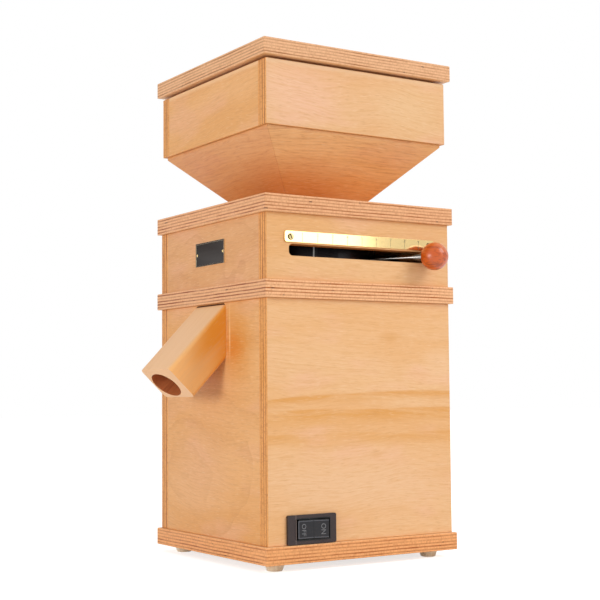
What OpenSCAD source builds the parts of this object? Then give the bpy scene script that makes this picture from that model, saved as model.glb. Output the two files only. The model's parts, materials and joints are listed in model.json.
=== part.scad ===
// Electric stone mill for grain, in a plywood housing.
// Lengths are millimetres. The origin is the centre of the base board's underside, on the mill's axis,
// and the feet reach below it. +Z is up, the flour spout points to -Y, and the grind lever and the
// switch are on the +X side.

/* [Boards] */
// Side of the square base, middle and top boards
slab_w = 188.5; // [187:0.5:196]
// Thickness of the base, middle and top boards and of the motor shelf
slab_t = 14.3; // [13:0.1:16]
// Side of the square lower body and of the upper housing
body_w = 182.4; // [181:0.2:185]
// Thickness of the wall, hopper and funnel boards
wall_t = 12; // [10:0.5:12.5]
// Height of the lower body's walls
lower_h = 193.8; // [192:0.2:230]
// Height of the upper housing's walls
upper_h = 53.5; // [50:0.5:70]
// Width of the eased edge on every board
ease = 0.4; // [0.2:0.1:0.8]

/* [Hopper] */
// Side of the square hopper box
hopper_w = 180.6; // [170:0.2:184]
// Height of the hopper box
hopper_h = 53.2; // [40:0.2:90]
// Distance that the funnel stands inside the hopper box's outer faces
funnel_inset = 3.1; // [2:0.1:6]
// Height of the funnel's upright lip under the hopper box
funnel_lip = 2.2; // [1.5:0.1:4]
// Slope of the funnel's boards, from level
funnel_slope = 45; // [42:1:50]
// Clear width of the funnel's outlet, and bore of the feed tube
outlet_w = 32.8; // [30:0.2:36]
// Side of the square lid
lid_w = 188.5; // [186:0.5:196]
// Thickness of the lid board
lid_t = 13.6; // [10:0.1:16]
// Shadow gap between the hopper box and the lid board
lid_gap = 2; // [1.5:0.1:4]
// Depth that the lid's locating panel reaches into the hopper box
lid_drop = 6; // [4:0.5:12]

/* [Flour spout] */
// Width of the spout block
spout_w = 52.2; // [51:0.1:60]
// Depth of the spout block, square to its slope
spout_d = 32.8; // [31:0.1:34]
// Length of the spout along its channel, from the wall to the mouth
spout_len = 58.8; // [45:0.1:75]
// Slope of the spout, from level
spout_slope = 46; // [44:0.5:48]
// Width of the flour channel
channel_w = 38.5; // [34:0.5:39]
// Height of the flour channel, square to its slope
channel_h = 25.5; // [22:0.5:26]
// Distance of the channel to the left of the spout's middle
channel_side = 4.5; // [0:0.5:5]
// Distance of the channel below the spout's middle, square to its slope
channel_down = 2; // [0:0.1:2.2]
// Radius of the spout block's long edges
spout_round = 4; // [1:0.5:5]
// Gap between the top of the spout and the middle board
spout_drop = 0.5; // [0.5:0.1:3]

/* [Millstones] */
// Room between the millstones and the walls round them
stone_room = 26.7; // [26:0.1:29]
// Thickness of the lower, turning stone
lower_stone_t = 17; // [16:0.5:18]
// Thickness of the upper stone
upper_stone_t = 18.5; // [17:0.5:19.5]
// Gap between the stones with the lever at its rest
grind_gap = 0.4; // [0.3:0.05:1]
// Number of furrows cut in each stone
furrows = 10; // [6:1:14]
// Depth of the furrows
furrow_depth = 1.4; // [0.8:0.1:2]
// Radial room between the stones and the chamber's wall
chamber_room = 9.5; // [8:0.5:10]
// Wall thickness of the cast chamber
chamber_wall = 4; // [3:0.5:5]
// Height of the felt ring on the chamber's rim
felt_t = 4; // [3:0.5:6]

/* [Grind adjuster] */
// Room between the adjusting ring and the walls round it
ring_room = 14.2; // [13.2:0.1:17]
// Radial metal of the adjusting ring, outside its thread
ring_metal = 20; // [19:0.5:22]
// Rise of the stone holder for one turn of the adjusting ring
thread_lead = 9; // [4:0.5:12]
// Angle that the lever swings through
lever_swing = 64; // [50:1:66]
// Height of the lever above the middle board
lever_rise = 24.3; // [22:0.1:26]
// Diameter of the lever rod
rod_d = 6; // [5:0.5:7]
// Diameter of the ball knob
ball_d = 23.4; // [20:0.2:26]
// Gap between the ball knob and the wall at the ends of the swing
ball_gap = 2; // [1.8:0.1:5]
// Length of the lever slot
slot_l = 141; // [136:1:150]
// Height of the lever slot
slot_h = 9.6; // [9:0.1:12]

/* [Scale and plate] */
// Length of the brass scale
scale_l = 150; // [146:1:156]
// Height of the brass scale
scale_h = 8.9; // [8:0.1:12]
// Thickness of the brass scale
scale_t = 1.2; // [0.8:0.1:1.5]
// Gap between the lever slot and the scale above it
scale_gap = 1.2; // [0.5:0.1:3]
// Width of the plate on the front
plate_w = 49; // [40:0.5:60]
// Height of the plate on the front
plate_h = 20; // [16:0.5:24]
// Thickness of the plate on the front
plate_t = 0.9; // [0.5:0.1:1.5]
// Height of the plate's middle above the middle board
plate_rise = 28.6; // [20:0.2:32]

/* [Switch] */
// Width of the switch frame
switch_w = 45.6; // [44:0.1:50]
// Height of the switch frame
switch_h = 23; // [21:0.1:24]
// Thickness of the switch frame's flange on the wall
switch_t = 2.2; // [1.5:0.1:3]
// Distance of the switch frame's middle from the body's front
switch_in = 39.4; // [39:0.1:45]
// Height of the switch frame's lower edge above the base board
switch_clear = 0.4; // [0.4:0.1:3]
// Length of the rocker
rocker_l = 30; // [26:0.5:32]
// Height of the rocker
rocker_h = 15; // [12:0.5:15.5]
// Angle that the rocker tips through
rocker_swing = 12; // [8:1:14]

/* [Motor] */
// Room between the motor's fins and the walls round it
motor_room = 18.2; // [17.2:0.1:24]
// Room between the cooling fan and the base board
fan_room = 9.6; // [6:0.1:20]
// Diameter of the motor shaft
shaft_d = 15; // [12:0.5:16]
// Diameter of the cooling fan
fan_d = 98; // [80:1:104]
// Height of the cooling fan
fan_h = 14; // [8:0.5:15]
// Number of fan blades
blades = 8; // [5:1:11]
// Diameter of the run capacitor
capacitor_d = 35; // [30:1:36]
// Length of the run capacitor
capacitor_l = 70; // [50:1:90]

/* [Feet] */
// Height of the feet
foot_h = 6.2; // [4:0.1:12]
// Diameter of a foot at the base board
foot_d = 16.8; // [12:0.1:20]
// Diameter of a foot where it stands
foot_tip_d = 12.2; // [9:0.1:14]
// Distance of each foot from the mill's axis, along X and along Y
foot_place = 76.5; // [72:0.5:82]

/* [Hidden] */
$fn = 96;

// Clearances
running = 0.05;     // radial, between a turning or sliding piece and its bore
loose = 0.3;        // between pieces that only have to pass each other
glue_line = 0.1;    // between the funnel's mitred boards
over = 1;           // how far a cut runs past the face that it opens

// Levels, from the base board's underside up
z_lower = slab_t;
z_mid = z_lower + lower_h;
z_upper = z_mid + slab_t;
z_top = z_upper + upper_h;
z_funnel = z_top + slab_t;
funnel_w = hopper_w - 2 * funnel_inset;
board_run = wall_t / sin(funnel_slope);    // level thickness of a sloping board
funnel_out = outlet_w / 2 + board_run;     // half width outside, at the funnel's foot
funnel_h = funnel_lip + (funnel_w / 2 - funnel_out) * tan(funnel_slope);
z_hopper = z_funnel + funnel_h;
z_rim = z_hopper + hopper_h;
z_lid = z_rim + lid_gap;

// Inner faces of the walls
inner = body_w / 2 - wall_t;
hopper_in = hopper_w / 2 - wall_t;

// Millstones and the chamber, from the middle board down
stone_above = 1.5;    // top of the upper stone above the middle board's underside
carrier_t = 7.5;
carrier_gap = 1;      // between the turning carrier and the chamber's floor
paddle_t = 4;
paddle_up = 10;       // how far the paddles rise beside the lower stone
paddle_gap = 0.7;     // between the paddles' tips and the chamber's wall
paddle_root = 6;      // how far the paddles reach in over the carrier
floor_t = 5;
stone_travel = thread_lead * lever_swing / 360;
stone_d = 2 * (inner - stone_room);
z_stone_top = z_mid + stone_above;
z_stone_low = z_stone_top - upper_stone_t;
z_lower_top = z_stone_low - grind_gap;
z_carrier_top = z_lower_top - lower_stone_t;
z_floor = z_carrier_top - carrier_t - carrier_gap;
z_shelf_top = z_floor - floor_t;
z_shelf = z_shelf_top - slab_t;
z_rim_bowl = z_mid - felt_t;
stone_r = stone_d / 2;
bowl_r = stone_r + chamber_room;
bowl_out = bowl_r + chamber_wall;
seal_d = 2 * shaft_d;
nut_h = 8;
nut_af = 18;
nut_bore_r = 14;      // room round the carrier nut, inside the lower stone
z_shaft_top = z_carrier_top + nut_h + 1.5;

// Flour outlet: a collar on the chamber reaches through the front wall to the spout
collar_wall = 2;
outlet_low = z_floor + 0.5;
outlet_high = z_rim_bowl - collar_wall - 0.4;
outlet_h = outlet_high - outlet_low;
outlet_z = (outlet_low + outlet_high) / 2;
outlet_r = 10;
collar_w = channel_w;
outlet_span = collar_w - 2 * collar_wall;
collar_h = outlet_h + 2 * collar_wall;
collar_r = outlet_r + collar_wall;

// The spout channel's axis crosses the wall's outer face at this height
spout_z = z_mid - spout_drop - spout_d / 2 / cos(spout_slope);

// Motor, hung under its shelf
shield_t = 10;
bottom_shield_t = 8;
cleat_w = 14;
motor_d = 2 * (inner - motor_room);
fan_gap = 4;
z_fan = z_lower + fan_room;
z_motor = z_fan + fan_h + fan_gap;
motor_h = z_shelf - z_motor;
z_housing_low = z_motor + bottom_shield_t;
z_housing_top = z_shelf - shield_t;
fin_h = 3;
housing_r = motor_d / 2 - fin_h;
housing_t = 2.5;
bearing_d = 35;
bearing_w = 11;
shoulder = 3;         // shield metal that each bearing bears on
core_r = housing_r - housing_t;
rotor_r = core_r * 0.585;
air_gap = 0.5;
winding_h = 12;
winding_end = 6;    // room between each end of the winding and its shield
core_h = z_housing_top - z_housing_low - 2 * (winding_h + winding_end);
z_core = z_housing_low + winding_end + winding_h;
motor_bolt_d = 4;
motor_bolt_r = core_r - 4.5;
capacitor_place = inner - capacitor_d / 2 - 3;
stud_d = 8;
stud_l = 10;
chamber_bolt_d = 6;
chamber_bolt_r = 45;
chamber_bolt_head = 5.5;

// Grind adjuster, on the middle board
ring_d = 2 * (inner - ring_room);
thread_d = ring_d - 2 * ring_metal;
z_lever = z_upper + lever_rise;
lever_rest = lever_swing / 2;      // the lever rests at the far end of its swing, towards +Y
bearing_plate_t = 4;
bearing_out = ring_d / 2 + 11.5;
ring_foot = 3;                     // how far the ring's foot flange stands out
rim_in = ring_d / 2 + ring_foot + loose;
rim_out = bearing_out - 1.5;
rim_h = 6;
keeper_t = 2.5;
keeper_w = 14;
keeper_r = (rim_in + rim_out) / 2;
keeper_angles = [90, 180, 270];    // clear of the stop's arc, from +X
keeper_screw_d = 3.5;
screw_down = 8;                    // keeper screws' depth in the middle board
ring_top = lever_rise + 9;
ring_low = bearing_plate_t + loose;
pin_d = 5;
pin_place = thread_d / 2 + 5.5;
pin_start = 30;                    // angle of the first guide pin, from +X
holder_flange_r = pin_place + pin_d / 2 + 1;
holder_flange_t = 6;
holder_tube_t = 5;
mid_bore_r = holder_flange_r + 3;
stop_arc = 8;                      // angle that the stop lug takes up, facing +X
stop_play = 0.3;                   // angle left at each end of the swing
feed_wall = 2.4;
feed_out = outlet_w / 2 + feed_wall;
feed_low = z_stone_top + stone_travel + 0.5;
feed_flange_t = 3;
ball_x = body_w / 2 + ball_gap + ball_d / 2;   // ball's distance in front of the axis, at the swing's end
lever_reach = ball_x / cos(lever_rest);
rod_in = thread_d / 2 + 6;
rod_grip = 10;                     // length of the rod inside the ball

// Scale, plate and switch
scale_z = z_lever + slot_h / 2 + scale_gap;
scale_cut = 1.2;
screw_in = 5.5;                    // screw's distance from the end of the scale
scale_head_d = 5.4;
scale_head_h = 1;
scale_shank_d = 2.6;
scale_screw_l = 9;
plate_sunk = 0.3;
plate_frame = 0.9;
pin_in = 2.3;                      // plate pin's distance from the plate's end
plate_pin_d = 1.5;
plate_pin_l = 7;
switch_z = z_lower + switch_clear + switch_h / 2;
switch_body_w = 39;
switch_body_h = rocker_h + 2.8;
switch_body_l = 26;
pocket_clear = 0.4;
rocker_depth = 11;
pivot_in = 3;                      // pivot's distance behind the wall's face
pivot_d = 3;
switch_y = body_w / 2 - switch_in;
rocker_y = -switch_y + 0.75;
rocker_r = rocker_l / 2 + 0.3;
peg_d = 8;
peg_up = 8;
peg_down = 14;
peg_y = inner - 18;

// ---------- Shapes ----------

// Rectangle with eased corners, centred
module eased_rect(w, h, e = ease) {
    polygon([
        [w / 2 - e, -h / 2], [w / 2, -h / 2 + e], [w / 2, h / 2 - e], [w / 2 - e, h / 2],
        [-w / 2 + e, h / 2], [-w / 2, h / 2 - e], [-w / 2, -h / 2 + e], [-w / 2 + e, -h / 2],
    ]);
}

// Board with every edge eased, standing on z = 0 and centred on the axis
module board(w, d, h, e = ease) {
    intersection() {
        linear_extrude(h) eased_rect(w, d, e);
        translate([0, d / 2, h / 2]) rotate([90, 0, 0]) linear_extrude(d) eased_rect(w, h, e);
        translate([-w / 2, 0, h / 2]) rotate([90, 0, 90]) linear_extrude(w) eased_rect(d, h, e);
    }
}

// Rectangle with round corners, centred
module round_rect(w, h, r) {
    union() {
        square([w - 2 * r, h], center = true);
        square([w, h - 2 * r], center = true);
        for (x = [-1, 1], y = [-1, 1]) translate([x * (w / 2 - r), y * (h / 2 - r)]) circle(r);
    }
}

// Slot with round ends, centred
module slot(l, h) {
    union() {
        square([l - h, h], center = true);
        for (x = [-1, 1]) translate([x * (l - h) / 2, 0]) circle(h / 2);
    }
}

// Ring standing on z = 0
module ring(r_out, r_in, h) {
    difference() {
        cylinder(r = r_out, h = h);
        translate([0, 0, -over]) cylinder(r = r_in, h = h + 2 * over);
    }
}

// Child copied to the four corners of a square
module at_corners(place) {
    for (x = [-1, 1], y = [-1, 1]) translate([x * place, y * place, 0]) children();
}

// Child copied round the axis
module around(count, radius, start = 0) {
    for (i = [0 : count - 1]) rotate([0, 0, start + i * 360 / count]) translate([radius, 0, 0]) children();
}

// Wall that runs the full depth of a box of side w, on the +X side
module side_wall(w, h) {
    translate([w / 2 - wall_t / 2, 0, 0]) board(wall_t, w, h);
}

// Wall that fits between the two side walls, on the -Y side
module end_wall(w, h) {
    translate([0, -w / 2 + wall_t / 2, 0]) board(w - 2 * wall_t, wall_t, h);
}

// ---------- Base and feet ----------

vent_w = 6;
vent_pitch = 12;
foot_screw_d = 3.5;
foot_screw_up = 10;
foot_head_d = 7;
foot_head_h = 1.8;
foot_head_up = 0.8;    // head's distance above the floor
foot_sunk = 1;         // depth of the recess that each foot is let into

module base_board() {
    color("burlywood") difference() {
        board(slab_w, slab_w, slab_t);
        for (i = [-3 : 3]) translate([0, i * vent_pitch, -over]) linear_extrude(slab_t + 2 * over)
            slot(2 * sqrt(pow(fan_d / 2, 2) - pow(i * vent_pitch, 2)), vent_w);
        at_corners(foot_place) translate([0, 0, -over]) {
            cylinder(d = foot_screw_d, h = foot_screw_up + over);
            cylinder(d = foot_d + 2 * loose, h = foot_sunk + over);
        }
        translate([-capacitor_place, capacitor_place, slab_t - stud_l])
            cylinder(d = stud_d, h = stud_l + over);
    }
}

module feet() {
    color("tan") at_corners(foot_place) translate([0, 0, -foot_h]) difference() {
        union() {
            cylinder(d1 = foot_tip_d, d2 = foot_d, h = foot_h);
            translate([0, 0, foot_h]) cylinder(d = foot_d, h = foot_sunk);
        }
        translate([0, 0, -over]) cylinder(d = foot_head_d, h = foot_head_up + foot_head_h + over);
        cylinder(d = foot_screw_d, h = foot_h + foot_sunk + over);
    }
}

module foot_screws() {
    color("silver") at_corners(foot_place) translate([0, 0, foot_head_up - foot_h]) {
        cylinder(d = foot_head_d - 2 * running, h = foot_head_h);
        cylinder(d = foot_screw_d - 2 * running, h = foot_h - foot_head_up + foot_screw_up);
    }
}

// ---------- Lower body ----------

gland_x = 45;
gland_z = 26;          // gland's height above the base board
gland_d = 12;
gland_bore = 7.5;

module lower_wall_front() {
    color("burlywood") difference() {
        translate([0, 0, z_lower]) end_wall(body_w, lower_h);
        translate([-channel_side, -inner + over, outlet_z]) rotate([90, 0, 0])
            linear_extrude(wall_t + 2 * over)
            round_rect(collar_w + 2 * loose, collar_h + 2 * loose, collar_r + loose);
    }
}

module lower_wall_back() {
    color("burlywood") difference() {
        mirror([0, 1, 0]) translate([0, 0, z_lower]) end_wall(body_w, lower_h);
        translate([gland_x, body_w / 2 + over, z_lower + gland_z]) rotate([90, 0, 0])
            cylinder(d = gland_d, h = wall_t + 2 * over);
    }
}

module peg_holes() {
    for (y = [-1, 1]) translate([body_w / 2 - wall_t / 2, y * peg_y, z_mid - peg_down])
        cylinder(d = peg_d, h = peg_down + over);
}

module lower_wall_left() {
    color("burlywood") mirror([1, 0, 0]) difference() {
        translate([0, 0, z_lower]) side_wall(body_w, lower_h);
        peg_holes();
    }
}

module lower_wall_right() {
    color("burlywood") difference() {
        translate([0, 0, z_lower]) side_wall(body_w, lower_h);
        peg_holes();
        translate([inner - over, -switch_y, switch_z]) rotate([90, 0, 90]) linear_extrude(wall_t + 2 * over)
            square([switch_body_w + 2 * loose, switch_body_h + 2 * loose], center = true);
    }
}

module locating_pegs() {
    color("wheat") for (x = [-1, 1], y = [-1, 1])
        translate([x * (body_w / 2 - wall_t / 2), y * peg_y, z_mid - peg_down]) {
            cylinder(d = peg_d, h = peg_down + peg_up - 2);
            translate([0, 0, peg_down + peg_up - 2]) cylinder(d1 = peg_d, d2 = peg_d - 2, h = 2);
        }
}

module motor_shelf() {
    boss_room = bearing_d / 2 + 9;
    color("burlywood") difference() {
        translate([0, 0, z_shelf]) board(2 * inner, 2 * inner, slab_t);
        translate([0, 0, z_shelf - over]) cylinder(r = boss_room, h = slab_t + 2 * over);
        around(4, chamber_bolt_r, 45) translate([0, 0, z_shelf - over])
            cylinder(d = chamber_bolt_d + 2 * loose, h = slab_t + 2 * over);
    }
}

module shelf_cleats() {
    color("wheat") for (x = [-1, 1])
        translate([x * (inner - cleat_w / 2), 0, z_shelf - cleat_w]) board(cleat_w, 2 * inner, cleat_w);
}

// Frame of the spout: its channel runs along -Y, sloping down from the wall's outer face
module spout_frame() {
    translate([0, -body_w / 2, spout_z]) rotate([spout_slope, 0, 0]) children();
}

module spout_block() {
    back = spout_d / 2 * tan(spout_slope) + over;
    reach = 4 * spout_len;
    color("sandybrown") difference() {
        spout_frame() translate([0, back, 0]) rotate([90, 0, 0]) linear_extrude(spout_len + back)
            round_rect(spout_w, spout_d, spout_round);
        spout_frame() translate([0, back + over, 0]) rotate([90, 0, 0])
            linear_extrude(spout_len + back + 2 * over) translate([-channel_side, -channel_down])
                scale([channel_w / channel_h, 1]) circle(d = channel_h);
        translate([-reach / 2, -body_w / 2, spout_z - reach / 2]) cube(reach);
    }
}

module cable_gland() {
    flange_t = 4;
    nose_l = 5;
    tail_l = 8;
    color("dimgray") translate([gland_x, body_w / 2, z_lower + gland_z]) rotate([90, 0, 0]) difference() {
        union() {
            translate([0, 0, -flange_t]) cylinder(d = gland_d + 8, h = flange_t);
            translate([0, 0, -flange_t - nose_l]) cylinder(d1 = gland_d, d2 = gland_d + 4, h = nose_l);
            cylinder(d = gland_d - 2 * running, h = wall_t + tail_l);
        }
        translate([0, 0, -flange_t - nose_l - over])
            cylinder(d = gland_bore, h = flange_t + nose_l + wall_t + tail_l + 2 * over);
    }
}

// ---------- Motor ----------

module motor_housing() {
    fins = 24;
    housing_h = z_housing_top - z_housing_low;
    color("gray") translate([0, 0, z_housing_low]) linear_extrude(housing_h) difference() {
        union() {
            circle(housing_r);
            for (i = [0 : fins - 1]) rotate(i * 360 / fins)
                translate([housing_r - 1, -1]) square([fin_h + 1, 2]);
        }
        circle(housing_r - housing_t);
    }
}

module motor_top_shield() {
    boss_r = bearing_d / 2 + 6;
    boss_h = bearing_w + shoulder - shield_t + 2;
    color("lightgray") translate([0, 0, z_housing_top]) difference() {
        union() {
            cylinder(r = housing_r, h = shield_t);
            translate([0, 0, shield_t]) cylinder(r = boss_r, h = boss_h);
        }
        translate([0, 0, -over]) cylinder(r = shaft_d / 2 + 2, h = shield_t + boss_h + 2 * over);
        translate([0, 0, -over]) cylinder(d = bearing_d, h = bearing_w + over);
        around(4, chamber_bolt_r, 45) translate([0, 0, -over])
            cylinder(d = chamber_bolt_d, h = shield_t + 2 * over);
        around(4, motor_bolt_r) translate([0, 0, -over]) cylinder(d = motor_bolt_d, h = shield_t - 2 + over);
    }
}

module motor_bottom_shield() {
    color("lightgray") translate([0, 0, z_motor]) difference() {
        union() {
            cylinder(r = housing_r, h = bottom_shield_t);
            cylinder(r = bearing_d / 2 + 6, h = bearing_w + shoulder);
        }
        translate([0, 0, -over]) cylinder(r = shaft_d / 2 + 2, h = bearing_w + shoulder + 2 * over);
        translate([0, 0, shoulder]) cylinder(d = bearing_d, h = bearing_w + over);
        around(8, bearing_d / 2 + 18, 22.5) translate([0, 0, -over])
            cylinder(r = 6, h = bottom_shield_t + 2 * over);
        around(4, motor_bolt_r) translate([0, 0, -over])
            cylinder(d = motor_bolt_d, h = bottom_shield_t + 2 * over);
    }
}

module motor_bolts() {
    head_h = 2.5;
    color("silver") around(4, motor_bolt_r) {
        translate([0, 0, z_motor - head_h]) cylinder(d = 2 * motor_bolt_d - 1, h = head_h);
        translate([0, 0, z_motor]) cylinder(d = motor_bolt_d - 2 * running, h = motor_h - 4);
    }
}

// Ball bearing with its two rings and the recess between them, on each face
module bearing() {
    groove = 1;
    difference() {
        ring(bearing_d / 2, shaft_d / 2 + running, bearing_w);
        for (z = [-over, bearing_w - groove]) translate([0, 0, z])
            ring(bearing_d / 2 - 3, shaft_d / 2 + 3, groove + over);
    }
}

module motor_bearings() {
    color("silver") {
        translate([0, 0, z_housing_top]) bearing();
        translate([0, 0, z_motor + shoulder]) bearing();
    }
}

module stator_core() {
    color("slategray") translate([0, 0, z_core]) difference() {
        ring(core_r, rotor_r + air_gap, core_h);
        around(4, motor_bolt_r) translate([0, 0, -over])
            cylinder(d = motor_bolt_d + 2 * loose, h = core_h + 2 * over);
    }
}

module stator_winding() {
    color("peru") for (z = [z_core - winding_h, z_core + core_h]) translate([0, 0, z])
        ring(motor_bolt_r - motor_bolt_d / 2 - 1, rotor_r + air_gap + 1.5, winding_h);
}

module rotor_core() {
    color("darkgray") translate([0, 0, z_core]) ring(rotor_r, shaft_d / 2, core_h);
}

module motor_shaft() {
    thread_r = shaft_d / 2 - 1.5;
    color("gainsboro") {
        translate([0, 0, z_fan]) cylinder(d = shaft_d, h = z_carrier_top - z_fan);
        translate([0, 0, z_carrier_top]) cylinder(r = thread_r, h = z_shaft_top - z_carrier_top);
    }
}

module cooling_fan() {
    disc_t = 1.6;
    blade_t = 2;
    color("dimgray") translate([0, 0, z_fan]) difference() {
        union() {
            translate([0, 0, fan_h - disc_t]) cylinder(d = fan_d, h = disc_t);
            cylinder(d = shaft_d + 10, h = fan_h);
            around(blades, shaft_d / 2 + 3) translate([0, -blade_t / 2, 0])
                cube([fan_d / 2 - shaft_d / 2 - 5, blade_t, fan_h]);
        }
        translate([0, 0, -over]) cylinder(d = shaft_d, h = fan_h + 2 * over);
    }
}

// The capacitor stands on the base board, held by the stud at its foot
module run_capacitor() {
    color("whitesmoke") translate([-capacitor_place, capacitor_place, z_lower]) {
        cylinder(d = capacitor_d, h = capacitor_l - 3);
        cylinder(d = capacitor_d - 5, h = capacitor_l);
        translate([0, 0, -stud_l]) cylinder(d = stud_d - 2 * running, h = stud_l);
    }
}

// ---------- Milling chamber ----------

module chamber_bowl() {
    bowl_in_y = bowl_r * 0.8;
    cone = chamber_bolt_head - chamber_bolt_d / 2;
    color("lightgray") difference() {
        union() {
            translate([0, 0, z_shelf_top]) cylinder(r = bowl_out, h = z_rim_bowl - z_shelf_top);
            translate([0, 0, z_shelf_top]) cylinder(r = bowl_out + 5, h = floor_t);
            translate([-channel_side, -bowl_in_y, outlet_z]) rotate([90, 0, 0])
                linear_extrude(body_w / 2 - bowl_in_y) round_rect(collar_w, collar_h, collar_r);
        }
        translate([0, 0, z_floor]) cylinder(r = bowl_r, h = z_rim_bowl - z_floor + over);
        translate([-channel_side, -bowl_in_y, outlet_z]) rotate([90, 0, 0])
            linear_extrude(body_w / 2 - bowl_in_y + over) round_rect(outlet_span, outlet_h, outlet_r);
        translate([0, 0, z_shelf_top - over]) cylinder(d = seal_d, h = floor_t + 2 * over);
        around(4, chamber_bolt_r, 45) translate([0, 0, z_shelf_top - over]) {
            cylinder(d = chamber_bolt_d + 2 * running, h = floor_t + 2 * over);
            translate([0, 0, over + floor_t - cone])
                cylinder(r1 = chamber_bolt_d / 2 + running, r2 = chamber_bolt_head + running + over,
                    h = cone + over);
        }
    }
}

module chamber_bolts() {
    cone = chamber_bolt_head - chamber_bolt_d / 2;
    low = z_housing_top + 1;
    color("silver") around(4, chamber_bolt_r, 45) {
        translate([0, 0, low]) cylinder(d = chamber_bolt_d - 2 * running, h = z_floor - cone - low);
        translate([0, 0, z_floor - cone])
            cylinder(r1 = chamber_bolt_d / 2 - running, r2 = chamber_bolt_head - running, h = cone);
    }
}

module chamber_felt() {
    color("ivory") translate([0, 0, z_rim_bowl]) ring(bowl_out, bowl_r, felt_t);
}

module shaft_seal() {
    color("black") translate([0, 0, z_shelf_top]) ring(seal_d / 2, shaft_d / 2 + running, floor_t);
}

module stone_carrier() {
    paddle_out = bowl_r - paddle_gap;
    color("silver") translate([0, 0, z_carrier_top - carrier_t]) difference() {
        union() {
            cylinder(r = stone_r - 2, h = carrier_t);
            intersection() {
                union() {
                    ring(paddle_out, stone_r + 1, carrier_t + paddle_up);
                    ring(paddle_out, stone_r - paddle_root, carrier_t);
                }
                around(3, 0) translate([0, -paddle_t / 2, 0]) cube([bowl_r, paddle_t, carrier_t + paddle_up]);
            }
        }
        translate([0, 0, -over]) cylinder(d = shaft_d, h = carrier_t + 2 * over);
    }
}

dish_r = stone_r * 0.6;
dish = 4;              // depth of the hollow where the grain enters between the stones

// Furrows of one millstone: slanted grooves that narrow towards the rim and die out before it
module furrow_plan() {
    from = stone_r * 0.42;
    to = stone_r * 0.9;
    slant = stone_r * 0.14;
    for (i = [0 : furrows - 1]) rotate(i * 360 / furrows)
        polygon([[from, -slant - 2.6], [to, -slant - 1], [to, -slant + 1], [from, -slant + 2.6]]);
}

module lower_stone() {
    color("darkgray") difference() {
        rotate_extrude() polygon([
            [nut_bore_r, z_carrier_top], [stone_r, z_carrier_top], [stone_r, z_lower_top],
            [dish_r, z_lower_top], [nut_bore_r, z_lower_top - dish],
        ]);
        translate([0, 0, z_lower_top - furrow_depth]) linear_extrude(furrow_depth + over) furrow_plan();
    }
}

module carrier_nut() {
    color("silver") translate([0, 0, z_carrier_top]) difference() {
        cylinder(d = nut_af / cos(30), h = nut_h, $fn = 6);
        translate([0, 0, -over]) cylinder(r = shaft_d / 2 - 1.5, h = nut_h + 2 * over);
    }
}

module upper_stone() {
    eye_r = outlet_w / 2;
    color("darkgray") difference() {
        rotate_extrude() polygon([
            [eye_r, z_stone_low + dish], [dish_r, z_stone_low], [stone_r, z_stone_low],
            [stone_r, z_stone_top], [eye_r, z_stone_top],
        ]);
        translate([0, 0, z_stone_low - over]) linear_extrude(furrow_depth + over)
            mirror([0, 1]) furrow_plan();
    }
}

module stone_holder() {
    tube_top = ring_top - 2;
    color("silver") difference() {
        union() {
            translate([0, 0, z_stone_top]) cylinder(r = holder_flange_r, h = holder_flange_t);
            translate([0, 0, z_stone_top]) cylinder(d = thread_d, h = z_upper + tube_top - z_stone_top);
        }
        translate([0, 0, z_stone_top - over]) cylinder(r = feed_out + 1.5, h = 2 * holder_flange_t);
        translate([0, 0, z_stone_top + holder_flange_t])
            cylinder(r = thread_d / 2 - holder_tube_t, h = upper_h);
        around(3, pin_place, pin_start) translate([0, 0, z_stone_top - over])
            cylinder(d = pin_d + 2 * running, h = holder_flange_t + 2 * over);
    }
}

// ---------- Grind adjuster ----------

module middle_board() {
    color("burlywood") difference() {
        translate([0, 0, z_mid]) board(slab_w, slab_w, slab_t);
        translate([0, 0, z_mid - over]) cylinder(r = mid_bore_r, h = slab_t + 2 * over);
        for (x = [-1, 1], y = [-1, 1])
            translate([x * (body_w / 2 - wall_t / 2), y * peg_y, z_mid - over])
                cylinder(d = peg_d + 2 * loose, h = peg_up + 0.5 + over);
        at_keepers() translate([0, 0, z_upper - screw_down]) cylinder(d = keeper_screw_d, h = slab_t);
    }
}

// Sector of a disc between two angles less than 180 degrees apart
module sector(r, from, to) {
    reach = 2 * r;
    half = (to - from) / 2;
    rotate((from + to) / 2) intersection() {
        circle(r);
        rotate(half) translate([-reach, -reach]) square([2 * reach, reach]);
        rotate(-half) translate([-reach, 0]) square([2 * reach, reach]);
    }
}

// The stop lug on the bearing ring reaches into an arc cut in the adjusting ring's foot
module bearing_ring() {
    color("gray") translate([0, 0, z_upper]) difference() {
        union() {
            ring(bearing_out, thread_d / 2 + 1.5, bearing_plate_t);
            ring(rim_out, rim_in, bearing_plate_t + rim_h);
            linear_extrude(bearing_plate_t + rim_h) difference() {
                sector(rim_in + over, -stop_arc / 2, stop_arc / 2);
                circle(ring_d / 2 + loose);
            }
        }
        around(3, pin_place, pin_start) translate([0, 0, -over])
            cylinder(d = pin_d, h = bearing_plate_t + 2 * over);
        at_keepers() translate([0, 0, -over])
            cylinder(d = keeper_screw_d, h = bearing_plate_t + rim_h + 2 * over);
    }
}

module guide_pins() {
    pin_low = z_stone_top + stone_travel + 0.4;
    color("silver") around(3, pin_place, pin_start) translate([0, 0, pin_low])
        cylinder(d = pin_d, h = z_upper + bearing_plate_t - pin_low);
}

// Child copied to the keepers' screws
module at_keepers() {
    for (a = keeper_angles) rotate([0, 0, a]) translate([keeper_r, 0, 0]) children();
}

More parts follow.
